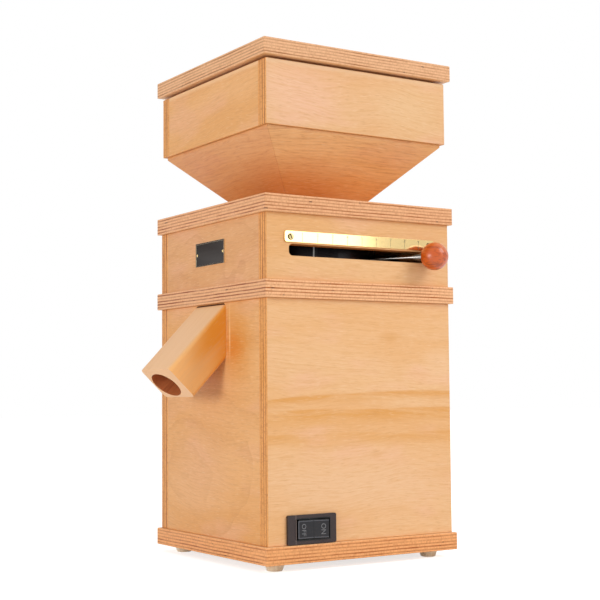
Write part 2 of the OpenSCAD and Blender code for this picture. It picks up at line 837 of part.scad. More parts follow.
module ring_keepers() {
    color("gray") translate([0, 0, z_upper + bearing_plate_t + rim_h]) difference() {
        intersection() {
            ring(rim_out, ring_d / 2 + 1, keeper_t);
            at_keepers() translate([-bearing_out / 2, -keeper_w / 2, 0])
                cube([bearing_out, keeper_w, keeper_t]);
        }
        at_keepers() translate([0, 0, -over]) cylinder(d = keeper_screw_d, h = keeper_t + 2 * over);
    }
}

module keeper_screws() {
    head_h = 2;
    stack = bearing_plate_t + rim_h + keeper_t;
    color("silver") at_keepers() {
        translate([0, 0, z_upper + stack]) cylinder(d = 2 * keeper_screw_d - 1, h = head_h);
        translate([0, 0, z_upper - screw_down])
            cylinder(d = keeper_screw_d - 2 * running, h = screw_down + stack);
    }
}

module adjusting_ring() {
    foot_t = rim_h - 2 * loose;
    stop_half = (lever_swing + stop_arc) / 2 + stop_play;
    slit = 1.2;
    slit_angle = -55.6;    // from the lever
    color("#1c1a1c") translate([0, 0, z_upper]) rotate([0, 0, lever_rest]) difference() {
        union() {
            translate([0, 0, ring_low]) cylinder(d = ring_d, h = ring_top - ring_low);
            translate([0, 0, ring_low]) linear_extrude(foot_t) difference() {
                circle(ring_d / 2 + ring_foot);
                difference() {
                    sector(ring_d, -stop_half, stop_half);
                    circle(ring_d / 2);
                }
            }
        }
        cylinder(r = thread_d / 2 + running, h = upper_h);
        translate([rod_in, 0, lever_rise]) rotate([0, 90, 0]) cylinder(d = rod_d, h = ring_d);
        rotate([0, 0, slit_angle]) translate([ring_d / 2 - 2, -slit / 2, 0]) cube([ring_d, slit, upper_h]);
    }
}

// Lever frame: +X runs along the rod from the mill's axis, at the rod's height
module lever_frame() {
    translate([0, 0, z_lever]) rotate([0, 0, lever_rest]) children();
}

module lever_rod() {
    color("gainsboro") lever_frame() translate([rod_in, 0, 0]) rotate([0, 90, 0])
        cylinder(d = rod_d, h = lever_reach - ball_d / 2 + rod_grip - rod_in);
}

module ball_knob() {
    neck_d = 12;
    color("firebrick") lever_frame() translate([lever_reach, 0, 0]) difference() {
        rotate([0, 90, 0]) sphere(d = ball_d);
        translate([-ball_d, 0, 0]) rotate([0, 90, 0])
            cylinder(d = neck_d, h = ball_d - sqrt(pow(ball_d / 2, 2) - pow(neck_d / 2, 2)));
        translate([-ball_d, 0, 0]) rotate([0, 90, 0]) cylinder(d = rod_d, h = ball_d / 2 + rod_grip);
    }
}

// ---------- Upper housing ----------

module upper_wall_front() {
    color("burlywood") difference() {
        translate([0, 0, z_upper]) end_wall(body_w, upper_h);
        plate_pin_places() translate([0, 0, -plate_pin_l]) cylinder(d = plate_pin_d, h = plate_pin_l + over);
    }
}

// Child copied to the plate's pins: +Z looks out of the front wall's face
module plate_pin_places() {
    for (x = [-1, 1]) translate([x * (plate_w / 2 - pin_in), -body_w / 2, z_upper + plate_rise])
        rotate([90, 0, 0]) children();
}

module upper_wall_back() {
    color("burlywood") mirror([0, 1, 0]) translate([0, 0, z_upper]) end_wall(body_w, upper_h);
}

module upper_wall_left() {
    color("burlywood") mirror([1, 0, 0]) translate([0, 0, z_upper]) side_wall(body_w, upper_h);
}

module scale_screw_places() {
    for (y = [-1, 1]) translate([body_w / 2, y * (scale_l / 2 - screw_in), scale_z + scale_h / 2 - 0.3])
        rotate([0, 90, 0]) children();
}

module upper_wall_right() {
    slot_r = 3.5;
    color("burlywood") difference() {
        translate([0, 0, z_upper]) side_wall(body_w, upper_h);
        translate([inner - over, 0, z_lever]) rotate([90, 0, 90]) linear_extrude(wall_t + 2 * over)
            round_rect(slot_l, slot_h, slot_r);
        scale_screw_places() translate([0, 0, -scale_screw_l + scale_t])
            cylinder(d = scale_shank_d, h = scale_screw_l);
    }
}

module scale_plate() {
    color("gold") difference() {
        translate([body_w / 2, 0, scale_z + scale_h / 2]) rotate([90, 0, 90]) linear_extrude(scale_t)
            eased_rect(scale_l, scale_h, scale_cut);
        scale_screw_places() translate([0, 0, -over]) cylinder(d = scale_shank_d, h = scale_t + 2 * over);
    }
}

module scale_screws() {
    slot_w = 0.8;
    slot_deep = 0.5;
    color("khaki") scale_screw_places() difference() {
        union() {
            translate([0, 0, scale_t]) cylinder(d1 = scale_head_d, d2 = scale_head_d - 1, h = scale_head_h);
            translate([0, 0, scale_t - scale_screw_l])
                cylinder(d = scale_shank_d - 2 * running, h = scale_screw_l);
        }
        rotate([0, 0, 25]) translate([-scale_head_d, -slot_w / 2, scale_t + scale_head_h - slot_deep])
            cube([2 * scale_head_d, slot_w, over]);
    }
}

// A plain plate with a raised rim
module front_plate() {
    color("black") difference() {
        translate([0, -body_w / 2, z_upper + plate_rise]) rotate([90, 0, 0]) difference() {
            linear_extrude(plate_t) square([plate_w, plate_h], center = true);
            translate([0, 0, plate_t - plate_sunk]) linear_extrude(over)
                square([plate_w - 2 * plate_frame, plate_h - 2 * plate_frame], center = true);
        }
        plate_pin_places() translate([0, 0, -over]) cylinder(d = plate_pin_d, h = plate_t + 2 * over);
    }
}

module plate_pins() {
    head_h = 0.5;
    color("dimgray") plate_pin_places() {
        translate([0, 0, -plate_pin_l]) cylinder(d = plate_pin_d - 2 * running, h = plate_pin_l + plate_t);
        translate([0, 0, plate_t - plate_sunk])
            cylinder(d1 = plate_pin_d + 0.9, d2 = plate_pin_d, h = head_h);
    }
}

// ---------- Hopper ----------

module top_board() {
    color("burlywood") difference() {
        translate([0, 0, z_top]) board(slab_w, slab_w, slab_t);
        translate([0, 0, z_top - over]) cylinder(r = feed_out + running, h = slab_t + 2 * over);
    }
}

module feed_tube() {
    color("gainsboro") difference() {
        union() {
            translate([0, 0, feed_low]) cylinder(r = feed_out, h = z_funnel - feed_low);
            translate([0, 0, z_top - feed_flange_t]) cylinder(r = feed_out + 10, h = feed_flange_t);
        }
        translate([0, 0, feed_low - over]) cylinder(d = outlet_w, h = z_funnel - feed_low + 2 * over);
    }
}

// Profile of a funnel board, drawn outwards from the axis: it seats the hopper wall's underside and
// carries its inner slope up to the wall's inner face
module funnel_profile() {
    run = tan(funnel_slope);
    top_out = funnel_w / 2;
    polygon([
        [outlet_w / 2, 0],
        [funnel_out, 0],
        [top_out, funnel_h - funnel_lip],
        [top_out, funnel_h],
        [hopper_in, funnel_h],
        [hopper_in, (hopper_in - outlet_w / 2) * run],
    ]);
}

// One mitred board of the funnel, on the +X side
module funnel_board() {
    reach = hopper_w;
    intersection() {
        translate([0, reach / 2, 0]) rotate([90, 0, 0]) linear_extrude(reach) funnel_profile();
        translate([glue_line, 0, 0]) linear_extrude(reach) polygon([[0, 0], [reach, -reach], [reach, reach]]);
    }
}

module funnel_boards() {
    color("peru") translate([0, 0, z_funnel]) for (i = [0 : 3]) rotate([0, 0, i * 90]) funnel_board();
}

module hopper_wall_front() {
    color("burlywood") translate([0, 0, z_hopper]) end_wall(hopper_w, hopper_h);
}

module hopper_wall_back() {
    color("burlywood") mirror([0, 1, 0]) translate([0, 0, z_hopper]) end_wall(hopper_w, hopper_h);
}

module hopper_wall_left() {
    color("burlywood") mirror([1, 0, 0]) translate([0, 0, z_hopper]) side_wall(hopper_w, hopper_h);
}

module hopper_wall_right() {
    color("burlywood") translate([0, 0, z_hopper]) side_wall(hopper_w, hopper_h);
}

module lid_board() {
    color("burlywood") translate([0, 0, z_lid]) board(lid_w, lid_w, lid_t);
}

// The panel's upper step rests on the hopper walls and holds the shadow gap open
module lid_panel() {
    rest_w = 2 * hopper_in + wall_t;
    drop_w = 2 * hopper_in - 2 * 0.5;
    color("wheat") union() {
        translate([-rest_w / 2, -rest_w / 2, z_rim]) cube([rest_w, rest_w, lid_gap]);
        translate([-drop_w / 2, -drop_w / 2, z_rim - lid_drop]) cube([drop_w, drop_w, lid_drop + over]);
    }
}

// ---------- Switch ----------

// Switch frame: +X looks out of the wall's face, at the middle of the rocker
module switch_place(y) {
    translate([body_w / 2, y, switch_z]) children();
}

module rocker_switch_frame() {
    rib_y = -switch_w / 2 + 7;
    pocket_l = 2 * (rocker_r + pocket_clear);
    pocket_h = rocker_h + 2 * pocket_clear;
    color("#2b2626") difference() {
        union() {
            switch_place(-switch_y) rotate([90, 0, 90]) linear_extrude(switch_t)
                round_rect(switch_w, switch_h, 1.2);
            switch_place(-switch_y) translate([-switch_body_l, -switch_body_w / 2, -switch_body_h / 2])
                cube([switch_body_l + 1, switch_body_w, switch_body_h]);
            switch_place(-switch_y) translate([switch_t - 0.2, rib_y, -switch_h / 3])
                cube([0.7, 1, switch_h * 2 / 3]);
        }
        switch_place(rocker_y) translate([-rocker_depth - pivot_in, -pocket_l / 2, -pocket_h / 2])
            cube([rocker_depth + pivot_in + 2 * switch_t, pocket_l, pocket_h]);
        switch_place(rocker_y) translate([-pivot_in, 0, -switch_body_h / 2 + 0.5])
            cylinder(d = pivot_d, h = switch_body_h - 1);
    }
}

module switch_pivot() {
    color("silver") switch_place(rocker_y) translate([-pivot_in, 0, -switch_body_h / 2 + 0.6])
        cylinder(d = pivot_d, h = switch_body_h - 1.2);
}

// The rocker, tipped to its rest: its outer end stands proud on one side of the pivot
module switch_rocker() {
    valley = pivot_in + switch_t + 0.9;
    proud = valley + rocker_l * tan(rocker_swing / 2);
    root = 5;
    hub_r = 4;
    color("#35353a") switch_place(rocker_y) translate([-pivot_in, 0, -rocker_h / 2])
        rotate([0, 0, -rocker_swing / 2]) difference() {
            union() {
                linear_extrude(rocker_h) intersection() {
                    circle(rocker_r);
                    polygon([
                        [-1, -rocker_l / 2], [proud, -rocker_l], [valley, 0], [proud, rocker_l],
                        [-1, rocker_l / 2], [-root, 6], [-root, -6],
                    ]);
                }
                cylinder(r = hub_r, h = rocker_h);
            }
            translate([0, 0, -over]) cylinder(d = pivot_d + 2 * running, h = rocker_h + 2 * over);
        }
}

base_board();
feet();
foot_screws();
lower_wall_front();
lower_wall_back();
lower_wall_left();
lower_wall_right();
motor_shelf();
shelf_cleats();
locating_pegs();
spout_block();
cable_gland();
motor_housing();
motor_top_shield();
motor_bottom_shield();
motor_bolts();
motor_bearings();
stator_core();
stator_winding();
rotor_core();
motor_shaft();
cooling_fan();
run_capacitor();
chamber_bowl();
chamber_bolts();
chamber_felt();
shaft_seal();
stone_carrier();
lower_stone();
carrier_nut();
upper_stone();
stone_holder();
middle_board();
bearing_ring();
guide_pins();
ring_keepers();
keeper_screws();
adjusting_ring();
lever_rod();
ball_knob();
upper_wall_front();
upper_wall_back();
upper_wall_left();
upper_wall_right();
scale_plate();
scale_screws();
front_plate();
plate_pins();
top_board();
feed_tube();
funnel_boards();
hopper_wall_front();
hopper_wall_back();
hopper_wall_left();
hopper_wall_right();
lid_board();
lid_panel();
rocker_switch_frame();
switch_rocker();
switch_pivot();
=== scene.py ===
import json
import math

import bmesh
import bpy
from mathutils import Matrix, Vector
from mathutils.bvhtree import BVHTree


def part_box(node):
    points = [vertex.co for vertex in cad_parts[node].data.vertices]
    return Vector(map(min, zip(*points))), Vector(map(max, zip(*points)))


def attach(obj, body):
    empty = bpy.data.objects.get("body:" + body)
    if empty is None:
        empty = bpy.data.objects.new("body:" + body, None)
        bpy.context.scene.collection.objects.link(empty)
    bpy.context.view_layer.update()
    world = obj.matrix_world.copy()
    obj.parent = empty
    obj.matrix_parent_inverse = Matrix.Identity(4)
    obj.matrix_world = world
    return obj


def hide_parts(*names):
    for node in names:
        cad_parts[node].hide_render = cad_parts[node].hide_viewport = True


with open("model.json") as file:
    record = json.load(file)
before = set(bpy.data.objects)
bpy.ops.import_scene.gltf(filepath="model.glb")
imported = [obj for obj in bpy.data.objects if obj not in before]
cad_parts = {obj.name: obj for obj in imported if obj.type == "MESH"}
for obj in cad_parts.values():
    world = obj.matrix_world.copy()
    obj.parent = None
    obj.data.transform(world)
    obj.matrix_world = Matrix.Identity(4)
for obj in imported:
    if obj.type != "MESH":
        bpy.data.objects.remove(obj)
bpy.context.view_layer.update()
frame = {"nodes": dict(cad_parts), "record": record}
NODES = frame["nodes"]
BODY_OF = {node: body for body, members in frame["record"]["behaviour"]["bodies"].items() for node in members}
MM = 0.001                        # metres in a millimetre
LEVER_ANGLE = 32.0                # degrees from +X to the lever at rest
SLIT_ANGLE = LEVER_ANGLE - 55.6   # degrees from +X to the adjusting ring's slit
SPOUT_SLOPE = math.radians(46.0)
ROCKER_MIDDLE = (-51.05, 26.2)    # Y and Z of the rocker's and of the frame's middle, in millimetres
FRAME_MIDDLE = (-47.1, 26.2)
SCALE_MARKS = 9
SCALE_STEP = 14.6                 # millimetres from one mark of the scale to the next


# ---------- Small helpers ----------

def linear(hex_colour):
    """An sRGB hex colour as the linear RGBA that a shader socket takes."""
    channels = [int(hex_colour[i:i + 2], 16) / 255 for i in (1, 3, 5)]
    return [c / 12.92 if c <= 0.04045 else ((c + 0.055) / 1.055) ** 2.4 for c in channels] + [1.0]


def add(tree, kind, *inputs, out=0, at=None, **settings):
    """Adds one node with its settings. inputs fill its live sockets in order, at fills them by name, and
    None leaves one alone. Returns the output socket named or numbered by out."""
    node = tree.nodes.new(kind)
    for name, value in settings.items():
        setattr(node, name, value)
    pairs = list(zip([s for s in node.inputs if s.enabled], inputs))
    pairs += [(node.inputs[name], value) for name, value in (at or {}).items()]
    for socket, value in pairs:
        if isinstance(value, bpy.types.NodeSocket):
            tree.links.new(value, socket)
        elif value is not None:
            socket.default_value = value
    return node.outputs[out] if node.outputs else node


def new_material(name):
    """An empty material with its tree and its shader node."""
    material = bpy.data.materials.new(name)
    material.use_nodes = True
    tree = material.node_tree
    tree.nodes.clear()
    shader = tree.nodes.new("ShaderNodeBsdfPrincipled")
    add(tree, "ShaderNodeOutputMaterial", shader.outputs[0])
    return material, tree, shader


def place_in_mm(tree):
    """Where a point of the object is, in millimetres."""
    place = add(tree, "ShaderNodeTexCoord", out="Object")
    return add(tree, "ShaderNodeVectorMath", place, 1000.0, operation="SCALE")


def in_scene(name, data):
    """An object of that name in the scene, which carries the data."""
    piece = bpy.data.objects.new(name, data)
    bpy.context.scene.collection.objects.link(piece)
    return piece


def finish_object(name, mesh, material, body, stands_for=()):
    """Puts a mesh in the scene as one piece of the object: on its body, and in place of the
    nodes that it stands for."""
    piece = in_scene(name, mesh)
    mesh.materials.clear()
    mesh.materials.append(material)
    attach(piece, body)
    if stands_for:
        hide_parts(*stands_for)
    return piece


def merged(node):
    """A copy of a node's mesh with its facets joined and its flat faces made whole."""
    same_place, same_plane = 2e-6, math.radians(0.5)
    shape = bmesh.new()
    shape.from_mesh(NODES[node].data)
    bmesh.ops.remove_doubles(shape, verts=shape.verts, dist=same_place)
    bmesh.ops.dissolve_limit(shape, angle_limit=same_plane, verts=shape.verts, edges=shape.edges)
    return shape


def baked(holder):
    """The mesh of a passing object, with its modifiers applied. The object itself goes."""
    graph = bpy.context.evaluated_depsgraph_get()
    mesh = bpy.data.meshes.new_from_object(holder.evaluated_get(graph), depsgraph=graph)
    bpy.data.objects.remove(holder)
    return mesh


def mesh_of(shape, name):
    """A mesh of that name, made of the shape's faces."""
    mesh = bpy.data.meshes.new(name)
    shape.to_mesh(mesh)
    shape.free()
    return mesh


def smoothed(mesh, angle):
    """The mesh, shaded smooth but for the edges that turn by more than the angle in degrees."""
    for polygon in mesh.polygons:
        polygon.use_smooth = True
    mesh.set_sharp_from_angle(angle=math.radians(angle))
    return mesh


def dress(node, material, edge=0.25, steps=2, smooth=32):
    """A finished copy of a node: its edges softened by edge millimetres in that many steps, and smooth
    wherever it turns by less than smooth degrees."""
    holder = in_scene("holder", smoothed(mesh_of(merged(node), node + "_finished"), smooth))
    bevel = holder.modifiers.new("softened", "BEVEL")
    bevel.width, bevel.segments = edge * MM, steps
    bevel.limit_method, bevel.angle_limit = "ANGLE", math.radians(smooth)
    bevel.harden_normals = True
    bevel.use_clamp_overlap = True
    return finish_object(node + "_finished", baked(holder), material, BODY_OF[node], [node])


def second_finish(piece, material, where):
    """Gives the faces for which where(face) holds a second material."""
    piece.data.materials.append(material)
    for polygon in piece.data.polygons:
        if where(polygon):
            polygon.material_index = 1


# ---------- Wood ----------

SMOOTH = {"interpolation_type": "SMOOTHSTEP"}
MIX = {"data_type": "RGBA", "out": 2}
WOOD_IOR = 1.45
WOOD_RELIEF = 0.0002              # metres from the bottom of a pore to its rim
SEED_APART = 83.0                 # how far apart the patterns of two boards lie in the noise
PLY_APART, EDGE_APART = 41.0, 17.0    # the same for two plies, and for the edges of two boards
DRIFT = 30.0                      # millimetres from the grain's lowest wander to its highest
RINGS = 7.0                       # growth lines from the lowest value of their noise to the highest
RING_STIR = 2.2                   # by how many growth lines the noise stirs those round an eye
RING_FADE = 3.5                   # how soon a growth line fades
PATCH_FRAY = 0.5                  # how far the noise frays a patch, as a share of its half size
ARC_SWAY, ARC_RISE = 9.0, 1.6     # how far a single strong line sways, and how wide its sharp edge is
DOWN_A_SLOPE = 1.41               # length along a board at 45 degrees for each millimetre of height
VENEER_BUMP, SOLID_BUMP = 0.12, 0.1    # how strongly the relief tells
ARC_TONE = "#E09C4A"
PALE_FLECK_TONE = "#FADDB6"
SPLIT_TONE = "#4E1E08"
# Painted shade in the seam at the top of the spout
PAINTED_SEAM_SHADE_TONE = "#4A2210"
# What a beech veneer shows: length along the grain and height across it, in millimetres, then the
# noise's detail and roughness
VENEER_FIGURE = {
    "zone": (250.0, 42.0, 3.0, 0.55),        # broad pale and orange bands
    "cloud": (83.0, 33.0, 2.0, 0.5),         # pinker clouds
    "ring": (500.0, 14.3, 1.0, 0.4),         # growth lines
    "ring_force": (67.0, 33.0, 2.0, 0.5),    # where a growth line is strong
    "run": (71.0, 5.0, 2.0, 0.6),            # what breaks up a single strong line
    "streak": (22.0, 1.5, 3.0, 0.6),         # vessels, drawn 1.5 mm wide: the real 0.3 mm would not show
    "fleck": (8.0, 0.7, 1.0, 0.5)}           # medullary rays, 3 to 8 mm long


def stained(tree, colour, pattern, start, end, strength, tone):
    """Lays a tone over the colour as the pattern goes from start to end, up to the strength."""
    share = add(tree, "ShaderNodeMapRange", pattern, start, end, 0.0, strength, **SMOOTH)
    return add(tree, "ShaderNodeMix", share, colour, linear(tone), **MIX)


def veneer_face(tree, along, across, seed, tones, eye, arcs, patches, bands):
    """The colour of a veneer, and its patterns. eye (along, across, flatness, spacing) bends the growth
    lines round a point. arcs (top, bend, middle, depth, strength) are single strong growth lines. patches
    (middle, half size, strength, tone) lay a tone over a place, and bands (from, to, strength, tone) do
    the same from one height to another. Some of them are painted light and painted shade."""
    veneer_at = add(tree, "ShaderNodeCombineXYZ", along, across, seed * SEED_APART)

    # The grain wanders up and down by a few millimetres over a hand's width
    slow_at = add(tree, "ShaderNodeVectorMath", veneer_at, (1 / 167, 1 / 91, 1.0), operation="MULTIPLY")
    wander = add(tree, "ShaderNodeTexNoise", slow_at, 1.0, 2.0, 0.5)
    drift = add(tree, "ShaderNodeMath", wander, DRIFT, -DRIFT / 2, operation="MULTIPLY_ADD")
    level = add(tree, "ShaderNodeMath", across, drift, operation="ADD")
    grain_at = add(tree, "ShaderNodeCombineXYZ", along, level, seed * SEED_APART)
    figure = {}
    for name, (length, height, detail, roughness) in VENEER_FIGURE.items():
        drawn_out = add(tree, "ShaderNodeVectorMath", grain_at, (1 / length, 1 / height, 1.0),
                        operation="MULTIPLY")
        figure[name] = add(tree, "ShaderNodeTexNoise", drawn_out, 1.0, detail, roughness)

    pale = add(tree, "ShaderNodeRGB")
    pale.node.outputs[0].default_value = linear(tones[0])
    colour = stained(tree, pale, figure["zone"], 0.38, 0.66, 1.0, tones[1])
    colour = stained(tree, colour, figure["cloud"], 0.5, 0.72, 0.75, tones[2])

    # Growth lines: each starts sharp and fades
    if eye:
        eye_along, eye_across, flatness, spacing = eye
        from_eye = add(tree, "ShaderNodeVectorMath", veneer_at, (eye_along, eye_across, seed * SEED_APART),
                       operation="SUBTRACT")
        round_eye = add(tree, "ShaderNodeVectorMath", from_eye, (1 / (flatness * spacing), 1 / spacing, 0.0),
                        operation="MULTIPLY")
        far = add(tree, "ShaderNodeVectorMath", round_eye, operation="LENGTH", out="Value")
        stir = add(tree, "ShaderNodeTexNoise", veneer_at, 0.018, 2.0, 0.5)
        ring = add(tree, "ShaderNodeMath", stir, RING_STIR, far, operation="MULTIPLY_ADD")
    else:
        ring = add(tree, "ShaderNodeMath", figure["ring"], RINGS, operation="MULTIPLY")
    ring_saw = add(tree, "ShaderNodeMath", ring, operation="FRACT")
    ring_fade = add(tree, "ShaderNodeMath", ring_saw, RING_FADE, operation="POWER")
    strongest = 0.33 if eye else 0.2
    ring_force = add(tree, "ShaderNodeMapRange", figure["ring_force"], 0.35, 0.65, 0.1, strongest, **SMOOTH)
    ring_share = add(tree, "ShaderNodeMath", ring_fade, ring_force, operation="MULTIPLY")
    colour = add(tree, "ShaderNodeMix", ring_share, colour, linear(tones[3]), **MIX)

    # Single strong lines: a sharp upper edge that fades downwards, broken up along its run
    for top, bend, middle, depth, strength in arcs:
        from_middle = add(tree, "ShaderNodeMath", along, middle, operation="SUBTRACT")
        bowed = add(tree, "ShaderNodeMath", from_middle, from_middle, operation="MULTIPLY")
        edge_line = add(tree, "ShaderNodeMath", bowed, -bend, top, operation="MULTIPLY_ADD")
        waved = add(tree, "ShaderNodeMath", wander, ARC_SWAY, edge_line, operation="MULTIPLY_ADD")
        below = add(tree, "ShaderNodeMath", waved, across, operation="SUBTRACT")
        rise = add(tree, "ShaderNodeMapRange", below, 0.0, ARC_RISE, **SMOOTH)
        fade = add(tree, "ShaderNodeMapRange", below, depth * 0.25, depth, strength, 0.0, **SMOOTH)
        force = add(tree, "ShaderNodeMapRange", figure["run"], 0.3, 0.62, 0.25, 1.0, **SMOOTH)
        whole = add(tree, "ShaderNodeMath", rise, fade, operation="MULTIPLY")
        share = add(tree, "ShaderNodeMath", whole, force, operation="MULTIPLY")
        colour = add(tree, "ShaderNodeMix", share, colour, linear(ARC_TONE), **MIX)

    # Tones laid over places, with frayed outlines; those on the funnel boards are painted shade
    for (spot_along, spot_across), (half_along, half_across), strength, tone in patches:
        from_spot = add(tree, "ShaderNodeVectorMath", veneer_at, (spot_along, spot_across, seed * SEED_APART),
                        operation="SUBTRACT")
        scaled = add(tree, "ShaderNodeVectorMath", from_spot, (1 / half_along, 1 / half_across, 0.0),
                     operation="MULTIPLY")
        far = add(tree, "ShaderNodeVectorMath", scaled, operation="LENGTH", out="Value")
        frayed = add(tree, "ShaderNodeMath", figure["cloud"], PATCH_FRAY, far, operation="MULTIPLY_ADD")
        colour = stained(tree, colour, frayed, 1.25, 0.35, strength, tone)

    # Vessels, dark and pale flecks, and then tones laid from height to height, such as the painted light
    # under the lid
    colour = stained(tree, colour, figure["streak"], 0.42, 0.75, 0.36, tones[3])
    colour = stained(tree, colour, figure["fleck"], 0.6, 0.74, 0.3, tones[4])
    colour = stained(tree, colour, figure["fleck"], 0.44, 0.26, 0.22, PALE_FLECK_TONE)
    for start, end, strength, tone in bands:
        colour = stained(tree, colour, across, start, end, strength, tone)
    return colour, figure


def sawn_edge(tree, parts, thin_index, reach, plies, seed, tones, front):
    """The colour of a sawn edge: one stripe a ply, every second one brown end grain, with a few dark
    gaps where a core veneer is split. reach is where the board starts and ends across its plies."""
    pitch = (reach[1] - reach[0]) / plies
    in_mm = add(tree, "ShaderNodeCombineXYZ", *parts)
    wave = add(tree, "ShaderNodeTexNoise", in_mm, 0.02, 1.0, 0.5)
    wave_mm = add(tree, "ShaderNodeMath", wave, 1.0, -0.5 - reach[0], operation="MULTIPLY_ADD")
    depth_in = add(tree, "ShaderNodeMath", parts[thin_index], wave_mm, operation="ADD")
    ply = add(tree, "ShaderNodeMath", depth_in, 1.0 / pitch, operation="MULTIPLY")
    ply_number = add(tree, "ShaderNodeMath", ply, operation="FLOOR")
    ply_seed = add(tree, "ShaderNodeMath", ply_number, PLY_APART, seed * EDGE_APART, operation="MULTIPLY_ADD")
    run_parts = list(parts)
    run_parts[thin_index] = ply_seed
    run_at = add(tree, "ShaderNodeCombineXYZ", *run_parts)

    # Of each pair of plies the second is brown, so that its middle lies at 0.75 of the pair
    half = add(tree, "ShaderNodeMath", ply, 0.5, operation="MULTIPLY")
    pair = add(tree, "ShaderNodeMath", half, operation="FRACT")
    from_brown = add(tree, "ShaderNodeMath", pair, 0.75, operation="SUBTRACT")
    off_brown = add(tree, "ShaderNodeMath", from_brown, operation="ABSOLUTE")
    brown_ply = add(tree, "ShaderNodeMapRange", off_brown, 0.27, 0.13, **SMOOTH)
    run_slow = add(tree, "ShaderNodeTexNoise", run_at, 0.03, 3.0, 0.6)
    brown_run = add(tree, "ShaderNodeMapRange", run_slow, 0.3, 0.65, 0.3, 1.0)
    brown_own = add(tree, "ShaderNodeTexWhiteNoise", at={"W": ply_seed}, noise_dimensions="1D")
    brown_force = add(tree, "ShaderNodeMapRange", brown_own, 0.0, 1.0, 0.5, 1.15)
    brown_here = add(tree, "ShaderNodeMath", brown_ply, brown_run, operation="MULTIPLY")
    brown = add(tree, "ShaderNodeMath", brown_here, brown_force, operation="MULTIPLY", use_clamp=True)
    # Edges that face along Y take the last tone, which is darker in some boards: painted shade
    brown_tone = add(tree, "ShaderNodeMix", front, linear(tones[6]), linear(tones[7]), **MIX)
    edge = add(tree, "ShaderNodeMix", brown, linear(tones[5]), brown_tone, **MIX)
    end_grain = add(tree, "ShaderNodeTexNoise", run_at, 0.5, 2.0, 0.7)
    edge = stained(tree, edge, end_grain, 0.4, 0.75, 0.35, tones[6])
    gap_noise = add(tree, "ShaderNodeTexNoise", run_at, 0.11, 1.0, 0.5)
    gap_run = add(tree, "ShaderNodeMapRange", gap_noise, 0.71, 0.75)
    gap_core = add(tree, "ShaderNodeMapRange", off_brown, 0.2, 0.1, 0.0, 0.95)
    gap = add(tree, "ShaderNodeMath", gap_run, gap_core, operation="MULTIPLY")
    return add(tree, "ShaderNodeMix", gap, edge, linear(SPLIT_TONE), **MIX)


def plywood(name, thin, node, plies, tones, seed, eye=None, arcs=(), patches=(), bands=(), slope=False,
            stain=None):
    """Plywood with beech face veneers, pressed, sawn, sanded and oiled. To the eye: a satin honey-coloured
    face with broad zones, growth lines and short flecks, and striped edges. thin is the axis across the
    plies. eye, arcs, patches and bands are as in veneer_face. slope is for boards at 45 degrees, whose
    sawn edges don't show. The facing shade (axis, strength, tone) is painted shade: it darkens what
    faces down that axis."""
    material, tree, shader = new_material(name)
    low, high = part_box(node)
    facing = add(tree, "ShaderNodeTexCoord", out="Normal")
    x, y, z = parts = list(add(tree, "ShaderNodeSeparateXYZ", place_in_mm(tree)).node.outputs)
    facing_parts = add(tree, "ShaderNodeSeparateXYZ", facing).node.outputs
    side, front, flat = (add(tree, "ShaderNodeMath", part, operation="ABSOLUTE") for part in facing_parts)
    thin_index = "XYZ".index(thin)
    if slope:
        on_side = add(tree, "ShaderNodeMath", side, front, operation="GREATER_THAN")
        mirrored = add(tree, "ShaderNodeMath", x, -1.0, operation="MULTIPLY")
        along = add(tree, "ShaderNodeMix", on_side, mirrored, y, data_type="FLOAT")
        across = add(tree, "ShaderNodeMath", z, DOWN_A_SLOPE, operation="MULTIPLY")
    else:
        along, across = ((y, z), (x, z), (x, y))[thin_index]
    surface, figure = veneer_face(tree, along, across, seed, tones, eye, arcs, patches, bands)
    if not slope:
        reach = (low[thin_index] / MM, high[thin_index] / MM)
        edge = sawn_edge(tree, parts, thin_index, reach, plies, seed, tones, front)
        on_edge = add(tree, "ShaderNodeMapRange", (side, front, flat)[thin_index], 0.6, 0.8, 1.0, 0.0)
        surface = add(tree, "ShaderNodeMix", on_edge, surface, edge, **MIX)
    # Painted shade on the faces that turn towards the negative axis
    if stain:
        axis, strength, tone = stain
        surface = stained(tree, surface, facing_parts["XYZ".index(axis)], -0.3, -0.65, strength, tone)
    shine = add(tree, "ShaderNodeMapRange", figure["streak"], 0.3, 0.7, 0.52, 0.42)
    relief = add(tree, "ShaderNodeBump", VENEER_BUMP, WOOD_RELIEF, at={"Height": figure["fleck"]})
    for socket, value in {"Base Color": surface, "Roughness": shine, "Normal": relief}.items():
        tree.links.new(value, shader.inputs[socket])
    shader.inputs["IOR"].default_value = WOOD_IOR
    shader.inputs["Specular IOR Level"].default_value = 0.35
    return material


